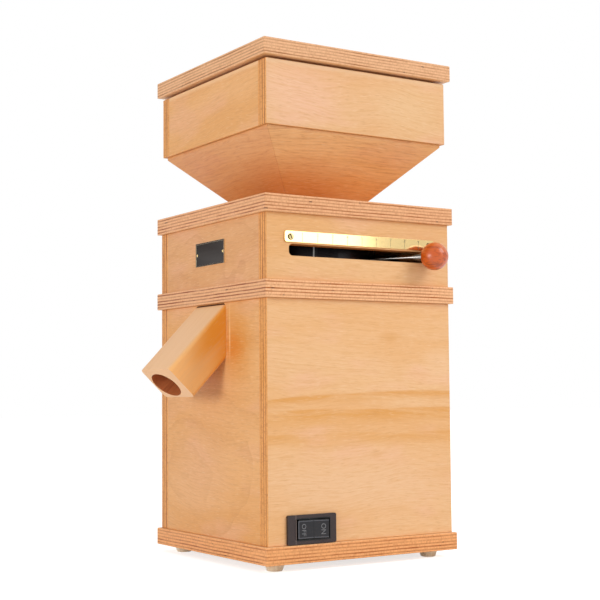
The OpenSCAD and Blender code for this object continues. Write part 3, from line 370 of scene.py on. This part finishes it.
def solid_wood(name, tones, along, seed, line=(83.0, 4.5), line_strength=0.5, roughness=0.45, coat=0.0,
               painted_side_shade=None, painted_top_shade=None):
    """Solid wood, planed or turned, then oiled or lacquered. To the eye: long straight grain with soft
    darker lines and short flecks. along turns the pattern so that its X runs with the grain; line is how
    long and wide the darker lines are. The side tones (near, far, from, to) colour the faces to the left
    and right, from Y near the wall out: painted shade. The top shade gives the heights between which the
    seam above is darkened: painted shade."""
    material, tree, shader = new_material(name)
    in_mm = place_in_mm(tree)
    turned = add(tree, "ShaderNodeMapping", in_mm, (seed * 57.0, seed * 31.0, 0.0), along)
    figure = []
    patterns = ((167.0, 22.0, 2.0, 0.5), (*line, 4.0, 0.6), (6.7, 0.83, 1.0, 0.5))
    for length, width, detail, detail_roughness in patterns:
        drawn_out = add(tree, "ShaderNodeVectorMath", turned, (1 / length, 1 / width, 1 / width),
                        operation="MULTIPLY")
        figure.append(add(tree, "ShaderNodeTexNoise", drawn_out, 1.0, detail, detail_roughness))
    wide, lines, fleck = figure
    wide_share = add(tree, "ShaderNodeMapRange", wide, 0.35, 0.65, **SMOOTH)
    colour = add(tree, "ShaderNodeMix", wide_share, linear(tones[0]), linear(tones[1]), **MIX)
    x, y, z = add(tree, "ShaderNodeSeparateXYZ", in_mm).node.outputs
    if painted_side_shade:
        near, far, start, end = painted_side_shade
        stir = 60.0    # millimetres by which the edge between the two tones wanders
        facing = add(tree, "ShaderNodeTexCoord", out="Normal")
        facing_x = add(tree, "ShaderNodeSeparateXYZ", facing)
        sideways = add(tree, "ShaderNodeMath", facing_x, operation="ABSOLUTE")
        stirred = add(tree, "ShaderNodeMath", wide, stir, y, operation="MULTIPLY_ADD")
        outward = add(tree, "ShaderNodeMapRange", stirred, start + stir / 2, end + stir / 2, **SMOOTH)
        # Painted shade: the sides take a deeper colour, most of all next to the wall
        oiled = add(tree, "ShaderNodeMix", outward, linear(near), linear(far), **MIX)
        on_side = add(tree, "ShaderNodeMapRange", sideways, 0.35, 0.9, **SMOOTH)
        colour = add(tree, "ShaderNodeMix", on_side, colour, oiled, **MIX)
    colour = stained(tree, colour, lines, 0.45, 0.7, line_strength, tones[2])
    colour = stained(tree, colour, fleck, 0.62, 0.74, 0.4, tones[2])
    # Painted shade: the seam at the top is darkened
    if painted_top_shade:
        colour = stained(tree, colour, z, *painted_top_shade, 1.0, PAINTED_SEAM_SHADE_TONE)
    relief = add(tree, "ShaderNodeBump", SOLID_BUMP, WOOD_RELIEF, at={"Height": lines})
    tree.links.new(colour, shader.inputs["Base Color"])
    tree.links.new(relief, shader.inputs["Normal"])
    shader.inputs["Roughness"].default_value = roughness
    shader.inputs["IOR"].default_value = WOOD_IOR
    if coat:
        shader.inputs["Coat Weight"].default_value = coat
        shader.inputs["Coat Roughness"].default_value = 0.22
    return material


# ---------- Metal, stone, plastic and felt ----------

def metal(name, tone, roughness, grain=0.3, mark=(1.0, 1.0, 1.0), metallic=1.0, mottle=0.0,
          mottle_tone="#000000", relief=1.0):
    """A bare or coated metal. grain is how much its machining marks stir the gloss, mark how long those
    are on each axis in millimetres, relief how deep they look beside others, and mottle how much the
    skin turns to mottle_tone in clouds."""
    material, tree, shader = new_material(name)
    in_mm = place_in_mm(tree)
    mark_at = add(tree, "ShaderNodeVectorMath", in_mm, [1 / size for size in mark], operation="MULTIPLY")
    marks = add(tree, "ShaderNodeTexNoise", mark_at, 1.0, 3.0, 0.6)
    gloss = add(tree, "ShaderNodeMapRange", marks, 0.25, 0.75, roughness * (1 - grain),
                roughness * (1 + grain))
    cloud = add(tree, "ShaderNodeTexNoise", in_mm, 0.09, 3.0, 0.5)
    cloud_share = add(tree, "ShaderNodeMapRange", cloud, 0.35, 0.7, 0.0, mottle)
    colour = add(tree, "ShaderNodeMix", cloud_share, linear(tone), linear(mottle_tone), **MIX)
    bump = add(tree, "ShaderNodeBump", (0.05 + 0.3 * grain) * relief, 0.0001, at={"Height": marks})
    for socket, value in {"Base Color": colour, "Roughness": gloss, "Normal": bump}.items():
        tree.links.new(value, shader.inputs[socket])
    shader.inputs["Metallic"].default_value = metallic
    return material


def grainy(name, tone, other, size_mm, roughness, depth=0.3, specular=0.5, lines=()):
    """A stuff with a fine grain of its own, such as stone, felt, rubber or moulded plastic. Its colour
    goes from tone to other in grains of size_mm. lines are bands of tone round a moulding's middle,
    painted shade in gaps and creases and painted highlights on edges: the middle they run round (Y, Z),
    how far off, how wide, and their tone."""
    material, tree, shader = new_material(name)
    in_mm = place_in_mm(tree)
    grains = add(tree, "ShaderNodeTexNoise", in_mm, 1.0 / size_mm, 4.0, 0.65)
    part = add(tree, "ShaderNodeMapRange", grains, 0.35, 0.7)
    colour = add(tree, "ShaderNodeMix", part, linear(tone), linear(other), **MIX)
    in_plan = add(tree, "ShaderNodeSeparateXYZ", in_mm).node.outputs[1:]
    for middle, halves, width, line_tone in lines:
        past_edges = []
        for position, centre, half in zip(in_plan, middle, halves):
            off_centre = add(tree, "ShaderNodeMath", position, centre, operation="SUBTRACT")
            distance = add(tree, "ShaderNodeMath", off_centre, operation="ABSOLUTE")
            past_edges.append(add(tree, "ShaderNodeMath", distance, half, operation="SUBTRACT"))
        past = add(tree, "ShaderNodeMath", *past_edges, operation="MAXIMUM")
        off_line = add(tree, "ShaderNodeMath", past, operation="ABSOLUTE")
        colour = stained(tree, colour, off_line, width, width * 0.7, 1.0, line_tone)
    relief = add(tree, "ShaderNodeBump", depth, 0.0003, at={"Height": grains})
    tree.links.new(colour, shader.inputs["Base Color"])
    tree.links.new(relief, shader.inputs["Normal"])
    shader.inputs["Roughness"].default_value = roughness
    shader.inputs["Specular IOR Level"].default_value = specular
    return material


# Veneer pale, veneer orange, pinker cloud, growth line, fleck, pale ply, brown ply, brown ply in front (where
# darker, painted shade)
VENEER = ["#EFBE8B", "#EBB379", "#F1BC94", "#DA9A58", "#C88C56"]
RIGHT_TONES = VENEER + ["#E8A45C", "#90420C", "#90420C"]
# The front boards' tones are darker and more orange than the right-hand boards': partly the wood's own
# colour, partly painted shade on faces turned from the key lamp. The upper front wall's are darker still,
# with more painted shade.
SHADED_FRONT_TONES = ["#EAB074", "#E3A462", "#E9AE7F", "#CB8A4C", "#BC7C40", "#E8A45C", "#90420C", "#90420C"]
SHADED_UPPER_FRONT_TONES = ["#E2A874", "#DB9E66", "#E4A880", "#C4844C", "#B4743E", "#E2A56A", "#9A5422", "#9A5422"]
UPPER_RIGHT_TONES = ["#EBB984", "#E7AE72", "#EDB78D", "#D49452", "#C48850", "#E8A45C", "#90420C", "#90420C"]
HOPPER_TONES = ["#E9B988", "#E4AD76", "#ECB792", "#D49452", "#BC804C", "#E8A45C", "#90420C", "#90420C"]
LID_TONES = VENEER + ["#EBB586", "#A4622A", "#985C26"]
# Painted shade: the lid panel's edges, seen in the gap under the lid, are a dark brown
SHADED_PANEL_TONES = VENEER + ["#8A5228", "#5A2A0E", "#5A2A0E"]
TOP_TONES = VENEER + ["#EEB382", "#A6581C", "#92420E"]
SLAB_TONES = VENEER + ["#F7BE8C", "#AA5A1C", "#863406"]
BASE_TONES = VENEER + ["#F6B072", "#9A4606", "#94440A"]
FUNNEL_TONES = ["#F6BC80", "#EEAA66", "#F0AE78", "#B8602A", "#AA5828", "#F0B284", "#BE8254", "#B27448"]
PAINTED_LIGHT_UNDER_LID = ((394.0, 398.5, 0.35, "#FFE4BC"),)    # from, to, strength and tone of a pale band below the lid: painted light against the lid's shadow


def board(node, thin, tones, seed, edge=0.25, **figure):
    """One board of the housing, its sawn edges barely broken with sandpaper: eleven plies in a level
    board, seven in a wall."""
    plies = 11 if thin == "Z" else 7
    material = plywood("oiled_plywood_" + node, thin, node, plies, tones, seed, **figure)
    return dress(node, material, edge=edge, smooth=20)


board("lid_board", "Z", LID_TONES, 1)
board("lid_panel", "Z", SHADED_PANEL_TONES, 2)
board("top_board", "Z", TOP_TONES, 3)
# Painted shade: the board's front edge is darkened
board("middle_board", "Z", SLAB_TONES, 4, stain=("Y", 0.16, "#A8642C"))
board("base_board", "Z", BASE_TONES, 5)
board("hopper_wall_right", "X", HOPPER_TONES, 6, bands=PAINTED_LIGHT_UNDER_LID,
      patches=[((-60.0, 375.0), (60.0, 40.0), 0.6, "#F0BC9C"), ((60.0, 372.0), (60.0, 40.0), 0.5, "#E9C08E")])
board("hopper_wall_left", "X", RIGHT_TONES, 7, bands=PAINTED_LIGHT_UNDER_LID)
board("hopper_wall_front", "Y", SHADED_FRONT_TONES, 8, bands=PAINTED_LIGHT_UNDER_LID)
board("hopper_wall_back", "Y", RIGHT_TONES, 9, bands=PAINTED_LIGHT_UNDER_LID)
board("upper_wall_right", "X", UPPER_RIGHT_TONES, 10)
board("upper_wall_left", "X", RIGHT_TONES, 11)
board("upper_wall_front", "Y", SHADED_UPPER_FRONT_TONES, 12, eye=(-70.0, 215.0, 2.6, 24.0))
board("upper_wall_back", "Y", RIGHT_TONES, 13)
board("lower_wall_right", "X", RIGHT_TONES, 14,
      arcs=[(130.5, 0.0003, 50.0, 10.0, 0.75), (117.0, 0.00015, 30.0, 16.0, 0.75),
            (97.0, 0.0001, 20.0, 14.0, 0.5)],
      patches=[((0.0, 60.0), (150.0, 42.0), 0.65, "#F1C499"), ((80.0, 155.0), (26.0, 22.0), 0.5, "#F3C89C"),
               ((27.0, 178.0), (16.0, 6.0), 0.5, "#E0A05C")])
board("lower_wall_left", "X", RIGHT_TONES, 15)
board("lower_wall_front", "Y", SHADED_FRONT_TONES, 16, eye=(-50.0, 62.0, 2.35, 26.0),
      patches=[((44.0, 176.0), (34.0, 46.0), 0.75, "#DD9240"), ((38.0, 171.0), (26.0, 17.0), 0.75, "#DE8430"),
               ((32.2, 182.0), (1.7, 32.0), 0.9, "#FACB8C"),
               ((-20.0, 70.0), (70.0, 50.0), 0.35, "#E9B48C")])
board("lower_wall_back", "Y", RIGHT_TONES, 17)
board("motor_shelf", "Z", RIGHT_TONES, 18)
# Painted shade: the front board is darkened, and so is the lower part, in two patches
board("funnel_boards", "Z", FUNNEL_TONES, 19, slope=True, edge=0.06, stain=("Y", 0.3, "#B4602A"),
      patches=[((-42.0, 420.0), (80.0, 55.0), 0.6, "#CA7636"), ((0.0, 402.0), (120.0, 30.0), 0.3, "#C46A2C")])

# ---------- Solid wood pieces ----------

down_the_spout = (-SPOUT_SLOPE, 0.0, math.radians(90))
# Planed beech; its sides are deeper in colour next to the wall, and the seam at its top is dark: painted
# shade. Its drilled channel is a dull dark brown
spout_wood = solid_wood("oiled_beech_spout", ["#F1BF8B", "#EEBB86", "#E8B17C"], down_the_spout, 3,
                        line_strength=0.3, painted_side_shade=("#EE9C34", "#FABC74", -96.0, -128.0),
                        painted_top_shade=(205.7, 206.4))
channel_wood = solid_wood("drilled_beech_channel", ["#C47040", "#B46234", "#8E4424"], down_the_spout, 4)
# Beech dowel, left raw: pale, dull and plain
small_wood = solid_wood("beech_dowel", ["#FBEBD2", "#F4DFC2", "#DEB78E"], (0.0, math.radians(90), 0.0), 1)
# Cherry, turned on a lathe and lacquered: red-orange, its dark pores under a gloss
cherry_wood = solid_wood("lacquered_cherry", ["#E0721A", "#CC560C", "#7E2A06"],
                         (0.0, 0.0, math.radians(-LEVER_ANGLE)), 2, line=(33.0, 2.5), line_strength=0.65,
                         roughness=0.34, coat=0.4)


def spout():
    """The block, with the drilled wall of its channel as a finish of its own."""
    axis = Vector((0, -math.cos(SPOUT_SLOPE), -math.sin(SPOUT_SLOPE)))
    up = Vector((0, -math.sin(SPOUT_SLOPE), math.cos(SPOUT_SLOPE)))
    spout_middle = Vector((0, -91.2, 183.99)) * MM
    channel_x, channel_up = -4.5, -2.0
    half_width, half_height = 19.5, 13.0    # of an oval just outside the channel

    def in_channel(face):
        place = face.center - spout_middle
        side, rise = place.x / MM - channel_x, place.dot(up) / MM - channel_up
        inside = (side / half_width) ** 2 + (rise / half_height) ** 2 < 1.0
        return inside and abs(face.normal.dot(axis)) < 0.5

    piece = dress("spout_block", spout_wood, edge=0.8, steps=3)
    second_finish(piece, channel_wood, in_channel)


spout()
dress("feet", small_wood, edge=0.4)
dress("locating_pegs", small_wood, edge=0.3)
dress("shelf_cleats", small_wood, edge=0.3)

# ---------- Lever, scale and plate ----------

# Ground and blackened rod: a dark mirror with faint rings across it
dark_steel = metal("blackened_steel_rod", "#6E6A66", 0.16, mark=(20.0, 0.25, 0.25))
# Turned and ground steel: bright, with fine lines round the axis that smear its highlights
turned_steel = metal("ground_steel", "#C8C8C6", 0.25, mark=(3.0, 3.0, 0.3))
# Pressed steel under bright zinc: cool, a little cloudy and half dull
plated_steel = metal("zinc_plated_steel", "#B9BBBD", 0.35, mark=(0.7, 0.7, 0.7))
# Sand-cast aluminium, shot-blasted: pale grey and dull, with darker clouds in its skin
cast_aluminium = metal("cast_aluminium", "#B4B4B2", 0.5, mark=(0.8, 0.8, 0.8), mottle=0.35,
                       mottle_tone="#8E8E8C")
# A fresh saw cut in aluminium: near white, with upright saw lines
sawn_aluminium = metal("sawn_aluminium", "#E4E2DE", 0.4, mark=(2.5, 2.5, 0.25))
# Turned and black anodised aluminium: nearly black, with only a soft sheen
black_anodised = metal("black_anodised_aluminium", "#1A1618", 0.3, 0.2, (5.0, 5.0, 0.3), metallic=0.6)
# Sheet brass under a baked dark lacquer, and its bare raised rim: a satin dark field in a pale line
plate_lacquer = grainy("lacquered_plate", "#2C2420", "#251E1B", 0.5, 0.5, 0.1, specular=0.2)
plate_border = metal("bare_plate_border", "#D8CDB0", 0.3, 0.2, (3.3, 0.3, 0.3))
# Rolled sheet brass, buffed: a warm mirror whose reflections are drawn out along the plate
polished_brass = metal("polished_brass", "#E4C78C", 0.09, 0.2, (0.4, 8.3, 0.4), relief=0.25)
# Turned brass screws, handled and never polished: duller, with brown stains
screw_brass = metal("turned_brass_screw", "#C8B483", 0.28, mark=(0.7, 0.7, 0.7), mottle=0.5,
                    mottle_tone="#8A7444")
tarnish = metal("tarnished_brass", "#3E3220", 0.5, mark=(0.7, 0.7, 0.7))
# Punched and stacked electrical sheet: dark grey, with a fine line at each sheet
core_sheet = metal("stacked_core_steel", "#5A5C60", 0.45, mark=(5.0, 5.0, 0.17))
# Enamelled copper wire, wound and dipped in varnish: glossy reddish brown, ribbed by the turns
winding_copper = metal("varnished_copper_wire", "#B06A38", 0.35, 0.4, (2.5, 2.5, 0.5))
# Cast housing under machine enamel: plain grey, half matt
housing_paint = metal("painted_motor_housing", "#7A7D80", 0.5, 0.2, metallic=0.3)
# Corundum grit bound in cement and dressed: chalky grey, rough, no shine at all
mill_stone = grainy("bonded_corundum_stone", "#A7A29B", "#8C867E", 0.9, 0.9, 0.8)
# Pressed wool felt: off-white, fibrous and quite matt
pressed_felt = grainy("pressed_wool_felt", "#E6E1D4", "#CFC9BA", 0.6, 0.95, 0.6)
# Moulded nitrile rubber: black, with a dull bloom
seal_rubber = grainy("nitrile_rubber", "#151515", "#1E1E1E", 1.2, 0.6)
# Nylon mouldings with a fine spark-eroded grain: brownish or bluish black and satin
gland_plastic = grainy("moulded_gland_nylon", "#2E2726", "#272120", 0.7, 0.4, 0.12, specular=0.3)
fan_plastic = grainy("moulded_fan_nylon", "#26282A", "#1F2123", 0.8, 0.5, 0.15)
# The frame's lines: a near-black band round the rocker's pocket, painted shade in the gap, and a paler
# upright line on the rib, a painted highlight
frame_plastic = grainy("moulded_switch_frame", "#3B2E2D", "#322726", 0.7, 0.34, 0.1, 0.3,
                       [(ROCKER_MIDDLE, (15.7, 8.2), 0.8, "#0A0809"),
                        (FRAME_MIDDLE, (20.0, 40.0), 0.55, "#5C4E4A")])
# The rocker's lines: near-black at its edge and down the valley between its halves, painted shade, and a
# paler line just inside the edge, a painted highlight
rocker_plastic = grainy("moulded_switch_rocker", "#222226", "#1C1B1F", 0.7, 0.34, 0.1, 0.3,
                        [(ROCKER_MIDDLE, (14.75, 7.3), 0.6, "#060607"),
                         (ROCKER_MIDDLE, (13.9, 6.5), 0.35, "#55565C"),
                         (ROCKER_MIDDLE, (0.0, 40.0), 0.3, "#0C0C0E")])
# Drawn can in a moulded sleeve: smooth, cream white, half glossy
can_plastic = grainy("capacitor_case_plastic", "#E4E3DF", "#DAD9D4", 1.5, 0.45, 0.1)
# Marks etched in the brass and inked, and pad-printed on the rocker: flat brown, flat grey
etched_mark = grainy("etched_and_inked_mark", "#77643E", "#5E5030", 0.3, 0.6, 0.1)
printed_grey = grainy("printed_grey_legend", "#747476", "#626264", 0.3, 0.55, 0.1)

dress("lever_rod", dark_steel, edge=0.3)
dress("scale_plate", polished_brass, edge=0.12)
dress("plate_pins", polished_brass, edge=0.1)
dress("rocker_switch_frame", frame_plastic, edge=0.5, steps=3)
dress("switch_rocker", rocker_plastic, edge=0.4, steps=3)
dress("cable_gland", gland_plastic, edge=0.5)


def name_plate():
    """The blank plate, lacquered dark inside its bare raised border."""
    low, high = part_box("front_plate")
    border = 0.95 * MM

    def on_border(face):
        at = face.center
        return not (low.x + border < at.x < high.x - border and low.z + border < at.z < high.z - border)

    piece = dress("front_plate", plate_lacquer, edge=0.12)
    second_finish(piece, plate_border, on_border)


def slit_ring():
    """The ring, black all over but for the slit, which was sawn after the blackening."""
    slit = math.radians(SLIT_ANGLE)
    outward = Vector((math.cos(slit), math.sin(slit), 0))
    beside = Vector((-math.sin(slit), math.cos(slit), 0))
    least_reach, half_width = 0.055, 0.00115    # metres: the ring's outer wall, where the slit cuts it

    def in_slit(face):
        return face.center.dot(outward) > least_reach and abs(face.center.dot(beside)) < half_width

    piece = dress("adjusting_ring", black_anodised, edge=0.4)
    second_finish(piece, sawn_aluminium, in_slit)


def slotted_screws():
    """The scale's two screws, bright on the turned face and tarnished in the slot and round the rim."""
    piece = dress("scale_screws", screw_brass, edge=0.12)
    top = max((vertex.co.x for vertex in piece.data.vertices))
    bright_depth, slant = 0.3 * MM, 0.75

    def below_the_face(face):
        return abs(face.normal.x) < slant or face.center.x < top - bright_depth

    second_finish(piece, tarnish, below_the_face)


name_plate()
slit_ring()
slotted_screws()


def turned_knob():
    """The ball, turned on a lathe with a flat where the rod enters."""
    low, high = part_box("ball_knob")
    turn, reach, height = math.radians(LEVER_ANGLE), 123.70, (low.z + high.z) / 2 / MM    # its middle
    radius, neck, bore = 11.7, 6.0, 3.0    # millimetres: the ball's, its flat's and the hole's radius
    mouth_depth, mouth_inner, mouth_outer = 1.2, 0.15, 0.35    # the hole opens a little outward
    start = math.asin(neck / radius)
    steps, sides = 40, 72
    profile = [(-math.cos(start) * radius + mouth_depth, bore + mouth_inner),
               (-math.cos(start) * radius, bore + mouth_outer)]
    profile += [(-math.cos(start + (math.pi - start) * i / steps) * radius,
                 math.sin(start + (math.pi - start) * i / steps) * radius) for i in range(steps)]
    shape = bmesh.new()
    angles = [2 * math.pi * k / sides for k in range(sides)]
    rings = [[shape.verts.new((along, out * math.cos(angle), out * math.sin(angle))) for angle in angles]
             for along, out in profile]
    tip = shape.verts.new((radius, 0, 0))
    for first, second in zip(rings, rings[1:]):
        for k in range(sides):
            shape.faces.new((first[k], second[k], second[(k + 1) % sides], first[(k + 1) % sides]))
    for k in range(sides):
        shape.faces.new((rings[-1][k], tip, rings[-1][(k + 1) % sides]))
    shape.faces.new(list(reversed(rings[0])))
    bmesh.ops.recalc_face_normals(shape, faces=shape.faces)
    place = Matrix.Rotation(turn, 4, "Z") @ Matrix.Scale(MM, 4) @ Matrix.Translation((reach, 0, height))
    bmesh.ops.transform(shape, matrix=place, verts=shape.verts)
    mesh = smoothed(mesh_of(shape, "turned_knob"), 40)
    finish_object("turned_knob", mesh, cherry_wood, "lever", ["ball_knob"])


turned_knob()


# ---------- Marks ----------

# Stands flat words up on a face to the right: their X runs to +Y, their Y up and their Z to +X
FACING_RIGHT = Matrix(((0, 0, 1), (1, 0, 0), (0, 1, 0))).to_4x4()
READ_DOWN = FACING_RIGHT @ Matrix.Rotation(math.radians(-90), 4, "Z")


def scale_ticks():
    """Geometry Nodes: a row of upright marks, one at each step of the scale."""
    tree = bpy.data.node_groups.new("row_of_ticks", "GeometryNodeTree")
    for name, kind in {"Ticks": "NodeSocketInt", "Step": "NodeSocketFloat", "Width": "NodeSocketFloat",
                       "Height": "NodeSocketFloat", "Depth": "NodeSocketFloat", "Face": "NodeSocketFloat",
                       "Middle Height": "NodeSocketFloat", "Finish": "NodeSocketMaterial"}.items():
        tree.interface.new_socket(name, in_out="INPUT", socket_type=kind)
    tree.interface.new_socket("Geometry", in_out="OUTPUT", socket_type="NodeSocketGeometry")
    given = add(tree, "NodeGroupInput").node.outputs
    steps = add(tree, "ShaderNodeMath", given["Ticks"], 1.0, operation="SUBTRACT")
    reach = add(tree, "ShaderNodeMath", steps, given["Step"], operation="MULTIPLY")
    first = add(tree, "ShaderNodeMath", reach, -0.5, operation="MULTIPLY")
    start = add(tree, "ShaderNodeCombineXYZ", given["Face"], first, given["Middle Height"])
    step = add(tree, "ShaderNodeCombineXYZ", 0.0, given["Step"], 0.0)
    row = add(tree, "GeometryNodeMeshLine",
              at={"Count": given["Ticks"], "Start Location": start, "Offset": step})
    size = add(tree, "ShaderNodeCombineXYZ", given["Depth"], given["Width"], given["Height"])
    tick = add(tree, "GeometryNodeMeshCube", at={"Size": size})
    placed = add(tree, "GeometryNodeInstanceOnPoints", at={"Points": row, "Instance": tick})
    real = add(tree, "GeometryNodeRealizeInstances", placed)
    finished = add(tree, "GeometryNodeSetMaterial", at={"Geometry": real, "Material": given["Finish"]})
    add(tree, "NodeGroupOutput", finished)

    low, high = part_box("scale_plate")
    holder = in_scene("holder", bpy.data.meshes.new("holder"))
    row_maker = holder.modifiers.new("ticks", "NODES")
    row_maker.node_group = tree
    sizes = {"Ticks": SCALE_MARKS, "Step": SCALE_STEP * MM, "Width": 0.28 * MM, "Height": 4.6 * MM,
             "Depth": 0.06 * MM, "Face": high.x, "Middle Height": low.z + 2.7 * MM, "Finish": etched_mark}
    for item in tree.interface.items_tree:
        if item.in_out == "INPUT":
            row_maker[item.identifier] = sizes[item.name]
    finish_object("scale_ticks", baked(holder), etched_mark, "upper_unit")


def lettering(name, words, height, places, material, body, under=None):
    """Plain words or numbers, printed or etched 0.05 mm thick, one at each place. under is the node
    whose right-hand face carries them where that face isn't upright."""
    size_for_height, half_thick = 1.4, 0.025
    shape = bmesh.new()
    for word, place in zip(words, places):
        curve = bpy.data.curves.new(name, "FONT")
        curve.body, curve.size, curve.extrude = word, height * size_for_height * MM, half_thick * MM
        curve.align_x, curve.align_y, curve.resolution_u = "CENTER", "CENTER", 4
        mesh = baked(in_scene("holder", curve))
        mesh.transform(place)
        if under:
            lie_on(mesh, under)
        shape.from_mesh(mesh)
    bmesh.ops.remove_doubles(shape, verts=shape.verts, dist=1e-7)
    finish_object(name, mesh_of(shape, name), material, body)


def lie_on(mesh, node):
    """Moves each point along X until it lies on the node's right-hand face."""
    face = merged(node)
    tree = BVHTree.FromBMesh(face)
    face.free()
    middle = sum((v.co.x for v in mesh.vertices)) / len(mesh.vertices)
    beyond = 0.2    # metres to the right, outside everything
    for vertex in mesh.vertices:
        hit = tree.ray_cast(Vector((beyond, vertex.co.y, vertex.co.z)), Vector((-1, 0, 0)))[0]
        vertex.co.x += hit.x - middle


def marks():
    """The ticks and numbers of the scale and the words on the rocker."""
    low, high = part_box("scale_plate")
    number_middle = low.z + 6.6 * MM
    word_places, word_middle, near_face = (-60.4, -43.2), 26.0 * MM, 0.1
    scale_ticks()
    lettering("scale_numbers", "123456789", 2.5,
              [Matrix.Translation((high.x, i * SCALE_STEP * MM, number_middle)) @ FACING_RIGHT
               for i in range(-(SCALE_MARKS // 2), SCALE_MARKS // 2 + 1)], etched_mark, "upper_unit")
    lettering("switch_legends", ["OFF", "ON"], 4.0,
              [Matrix.Translation((near_face, y * MM, word_middle)) @ READ_DOWN for y in word_places],
              printed_grey, "rocker", under="switch_rocker")


marks()

# ---------- Inside ----------

# These keep the solids' own meshes and only take a finish
for node, material in {
        "foot_screws": plated_steel, "motor_housing": housing_paint, "motor_top_shield": cast_aluminium,
        "motor_bottom_shield": cast_aluminium, "motor_bolts": plated_steel, "motor_bearings": turned_steel,
        "stator_core": core_sheet, "stator_winding": winding_copper, "rotor_core": core_sheet,
        "motor_shaft": turned_steel, "cooling_fan": fan_plastic, "run_capacitor": can_plastic,
        "chamber_bowl": cast_aluminium, "chamber_bolts": plated_steel, "chamber_felt": pressed_felt,
        "shaft_seal": seal_rubber, "stone_carrier": cast_aluminium, "lower_stone": mill_stone,
        "carrier_nut": plated_steel, "upper_stone": mill_stone, "stone_holder": cast_aluminium,
        "bearing_ring": cast_aluminium, "guide_pins": turned_steel, "ring_keepers": plated_steel,
        "keeper_screws": plated_steel, "feed_tube": turned_steel, "switch_pivot": turned_steel}.items():
    NODES[node].data.materials.clear()
    NODES[node].data.materials.append(material)

# ---------- Floor, light and camera ----------

def stage_floor():
    """A matt white floor under the feet, which camera and reflections see as bright as the backdrop."""
    size, own_glow = 6.0, 0.7
    shape = bmesh.new()
    bmesh.ops.create_grid(shape, x_segments=2, y_segments=2, size=size)
    mesh = mesh_of(shape, "studio_floor")
    floor = in_scene("studio_floor", mesh)
    floor.location.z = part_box("feet")[0].z
    material, tree, shader = new_material("white_floor")
    shader.inputs["Base Color"].default_value = (0.8, 0.8, 0.8, 1)
    shader.inputs["Roughness"].default_value = 0.9
    shader.inputs["Specular IOR Level"].default_value = 0.0
    seen = add(tree, "ShaderNodeLightPath", out="Is Camera Ray")
    glossy = add(tree, "ShaderNodeLightPath", out="Is Glossy Ray")
    either = add(tree, "ShaderNodeMath", seen, glossy, operation="MAXIMUM")
    glow = add(tree, "ShaderNodeMath", either, own_glow, operation="MULTIPLY")
    shader.inputs["Emission Color"].default_value = (1, 1, 1, 1)
    tree.links.new(glow, shader.inputs["Emission Strength"])
    mesh.materials.append(material)


def studio_world(level):
    """A white backdrop that lights the scene at the level, but is seen and mirrored as full white."""
    world = bpy.data.worlds.new("studio")
    bpy.context.scene.world = world
    world.use_nodes = True
    tree = world.node_tree
    tree.nodes.clear()
    path = add(tree, "ShaderNodeLightPath").node.outputs
    seen = add(tree, "ShaderNodeMath", path["Is Camera Ray"], path["Is Glossy Ray"], operation="MAXIMUM")
    strength = add(tree, "ShaderNodeMapRange", seen, 0.0, 1.0, level, 1.0)
    add(tree, "ShaderNodeOutputWorld", add(tree, "ShaderNodeBackground", (1, 1, 1, 1), strength))


def lamp(name, place, target, width, height, power):
    """A white panel at a place, turned to a target: both in metres, its power in watts."""
    light = bpy.data.lights.new(name, "AREA")
    light.shape, light.size, light.size_y, light.energy = "RECTANGLE", width, height, power
    turn = (Vector(target) - Vector(place)).to_track_quat("-Z", "Y").to_matrix().to_4x4()
    in_scene(name, light).matrix_world = Matrix.Translation(place) @ turn


stage_floor()
studio_world(0.6)
lamp("key_lamp", (1.86, 1.36, 1.94), (0, 0, 0.2), 1.5, 1.5, 35.0)
lamp("front_lamp", (0.5, -2.2, 0.22), (0, 0, 0.2), 0.8, 0.8, 20.0)
lamp("scale_lamp", (1.98, 1.10, 0.53), (0.09, -0.03, 0.257), 0.42, 0.5, 1.8)


def photo_camera():
    """The photograph's viewpoint: a little above the base, looking slightly up at the front corner."""
    yaw, pitch, roll = (math.radians(a) for a in (57.26, 4.05, -0.44))
    place = (0.95013, -0.61265, 0.13445)
    focal_pixels, photo_pixels, sensor_width = 1287.78, 600, 36.0
    forward = Vector((-math.sin(yaw) * math.cos(pitch), math.cos(yaw) * math.cos(pitch), math.sin(pitch)))
    level_right = Vector((math.cos(yaw), math.sin(yaw), 0))
    level_up = level_right.cross(forward)
    right = level_right * math.cos(roll) + level_up * math.sin(roll)
    up = -level_right * math.sin(roll) + level_up * math.cos(roll)
    data = bpy.data.cameras.new("photo_camera")
    data.sensor_width, data.lens = sensor_width, focal_pixels / photo_pixels * sensor_width
    data.clip_start, data.clip_end = 0.05, 50
    camera = in_scene("photo_camera", data)
    turn = Matrix((right, up, -forward)).transposed().to_4x4()
    camera.matrix_world = Matrix.Translation(place) @ turn
    bpy.context.scene.camera = camera


photo_camera()
bpy.context.scene.view_settings.view_transform = "Standard"
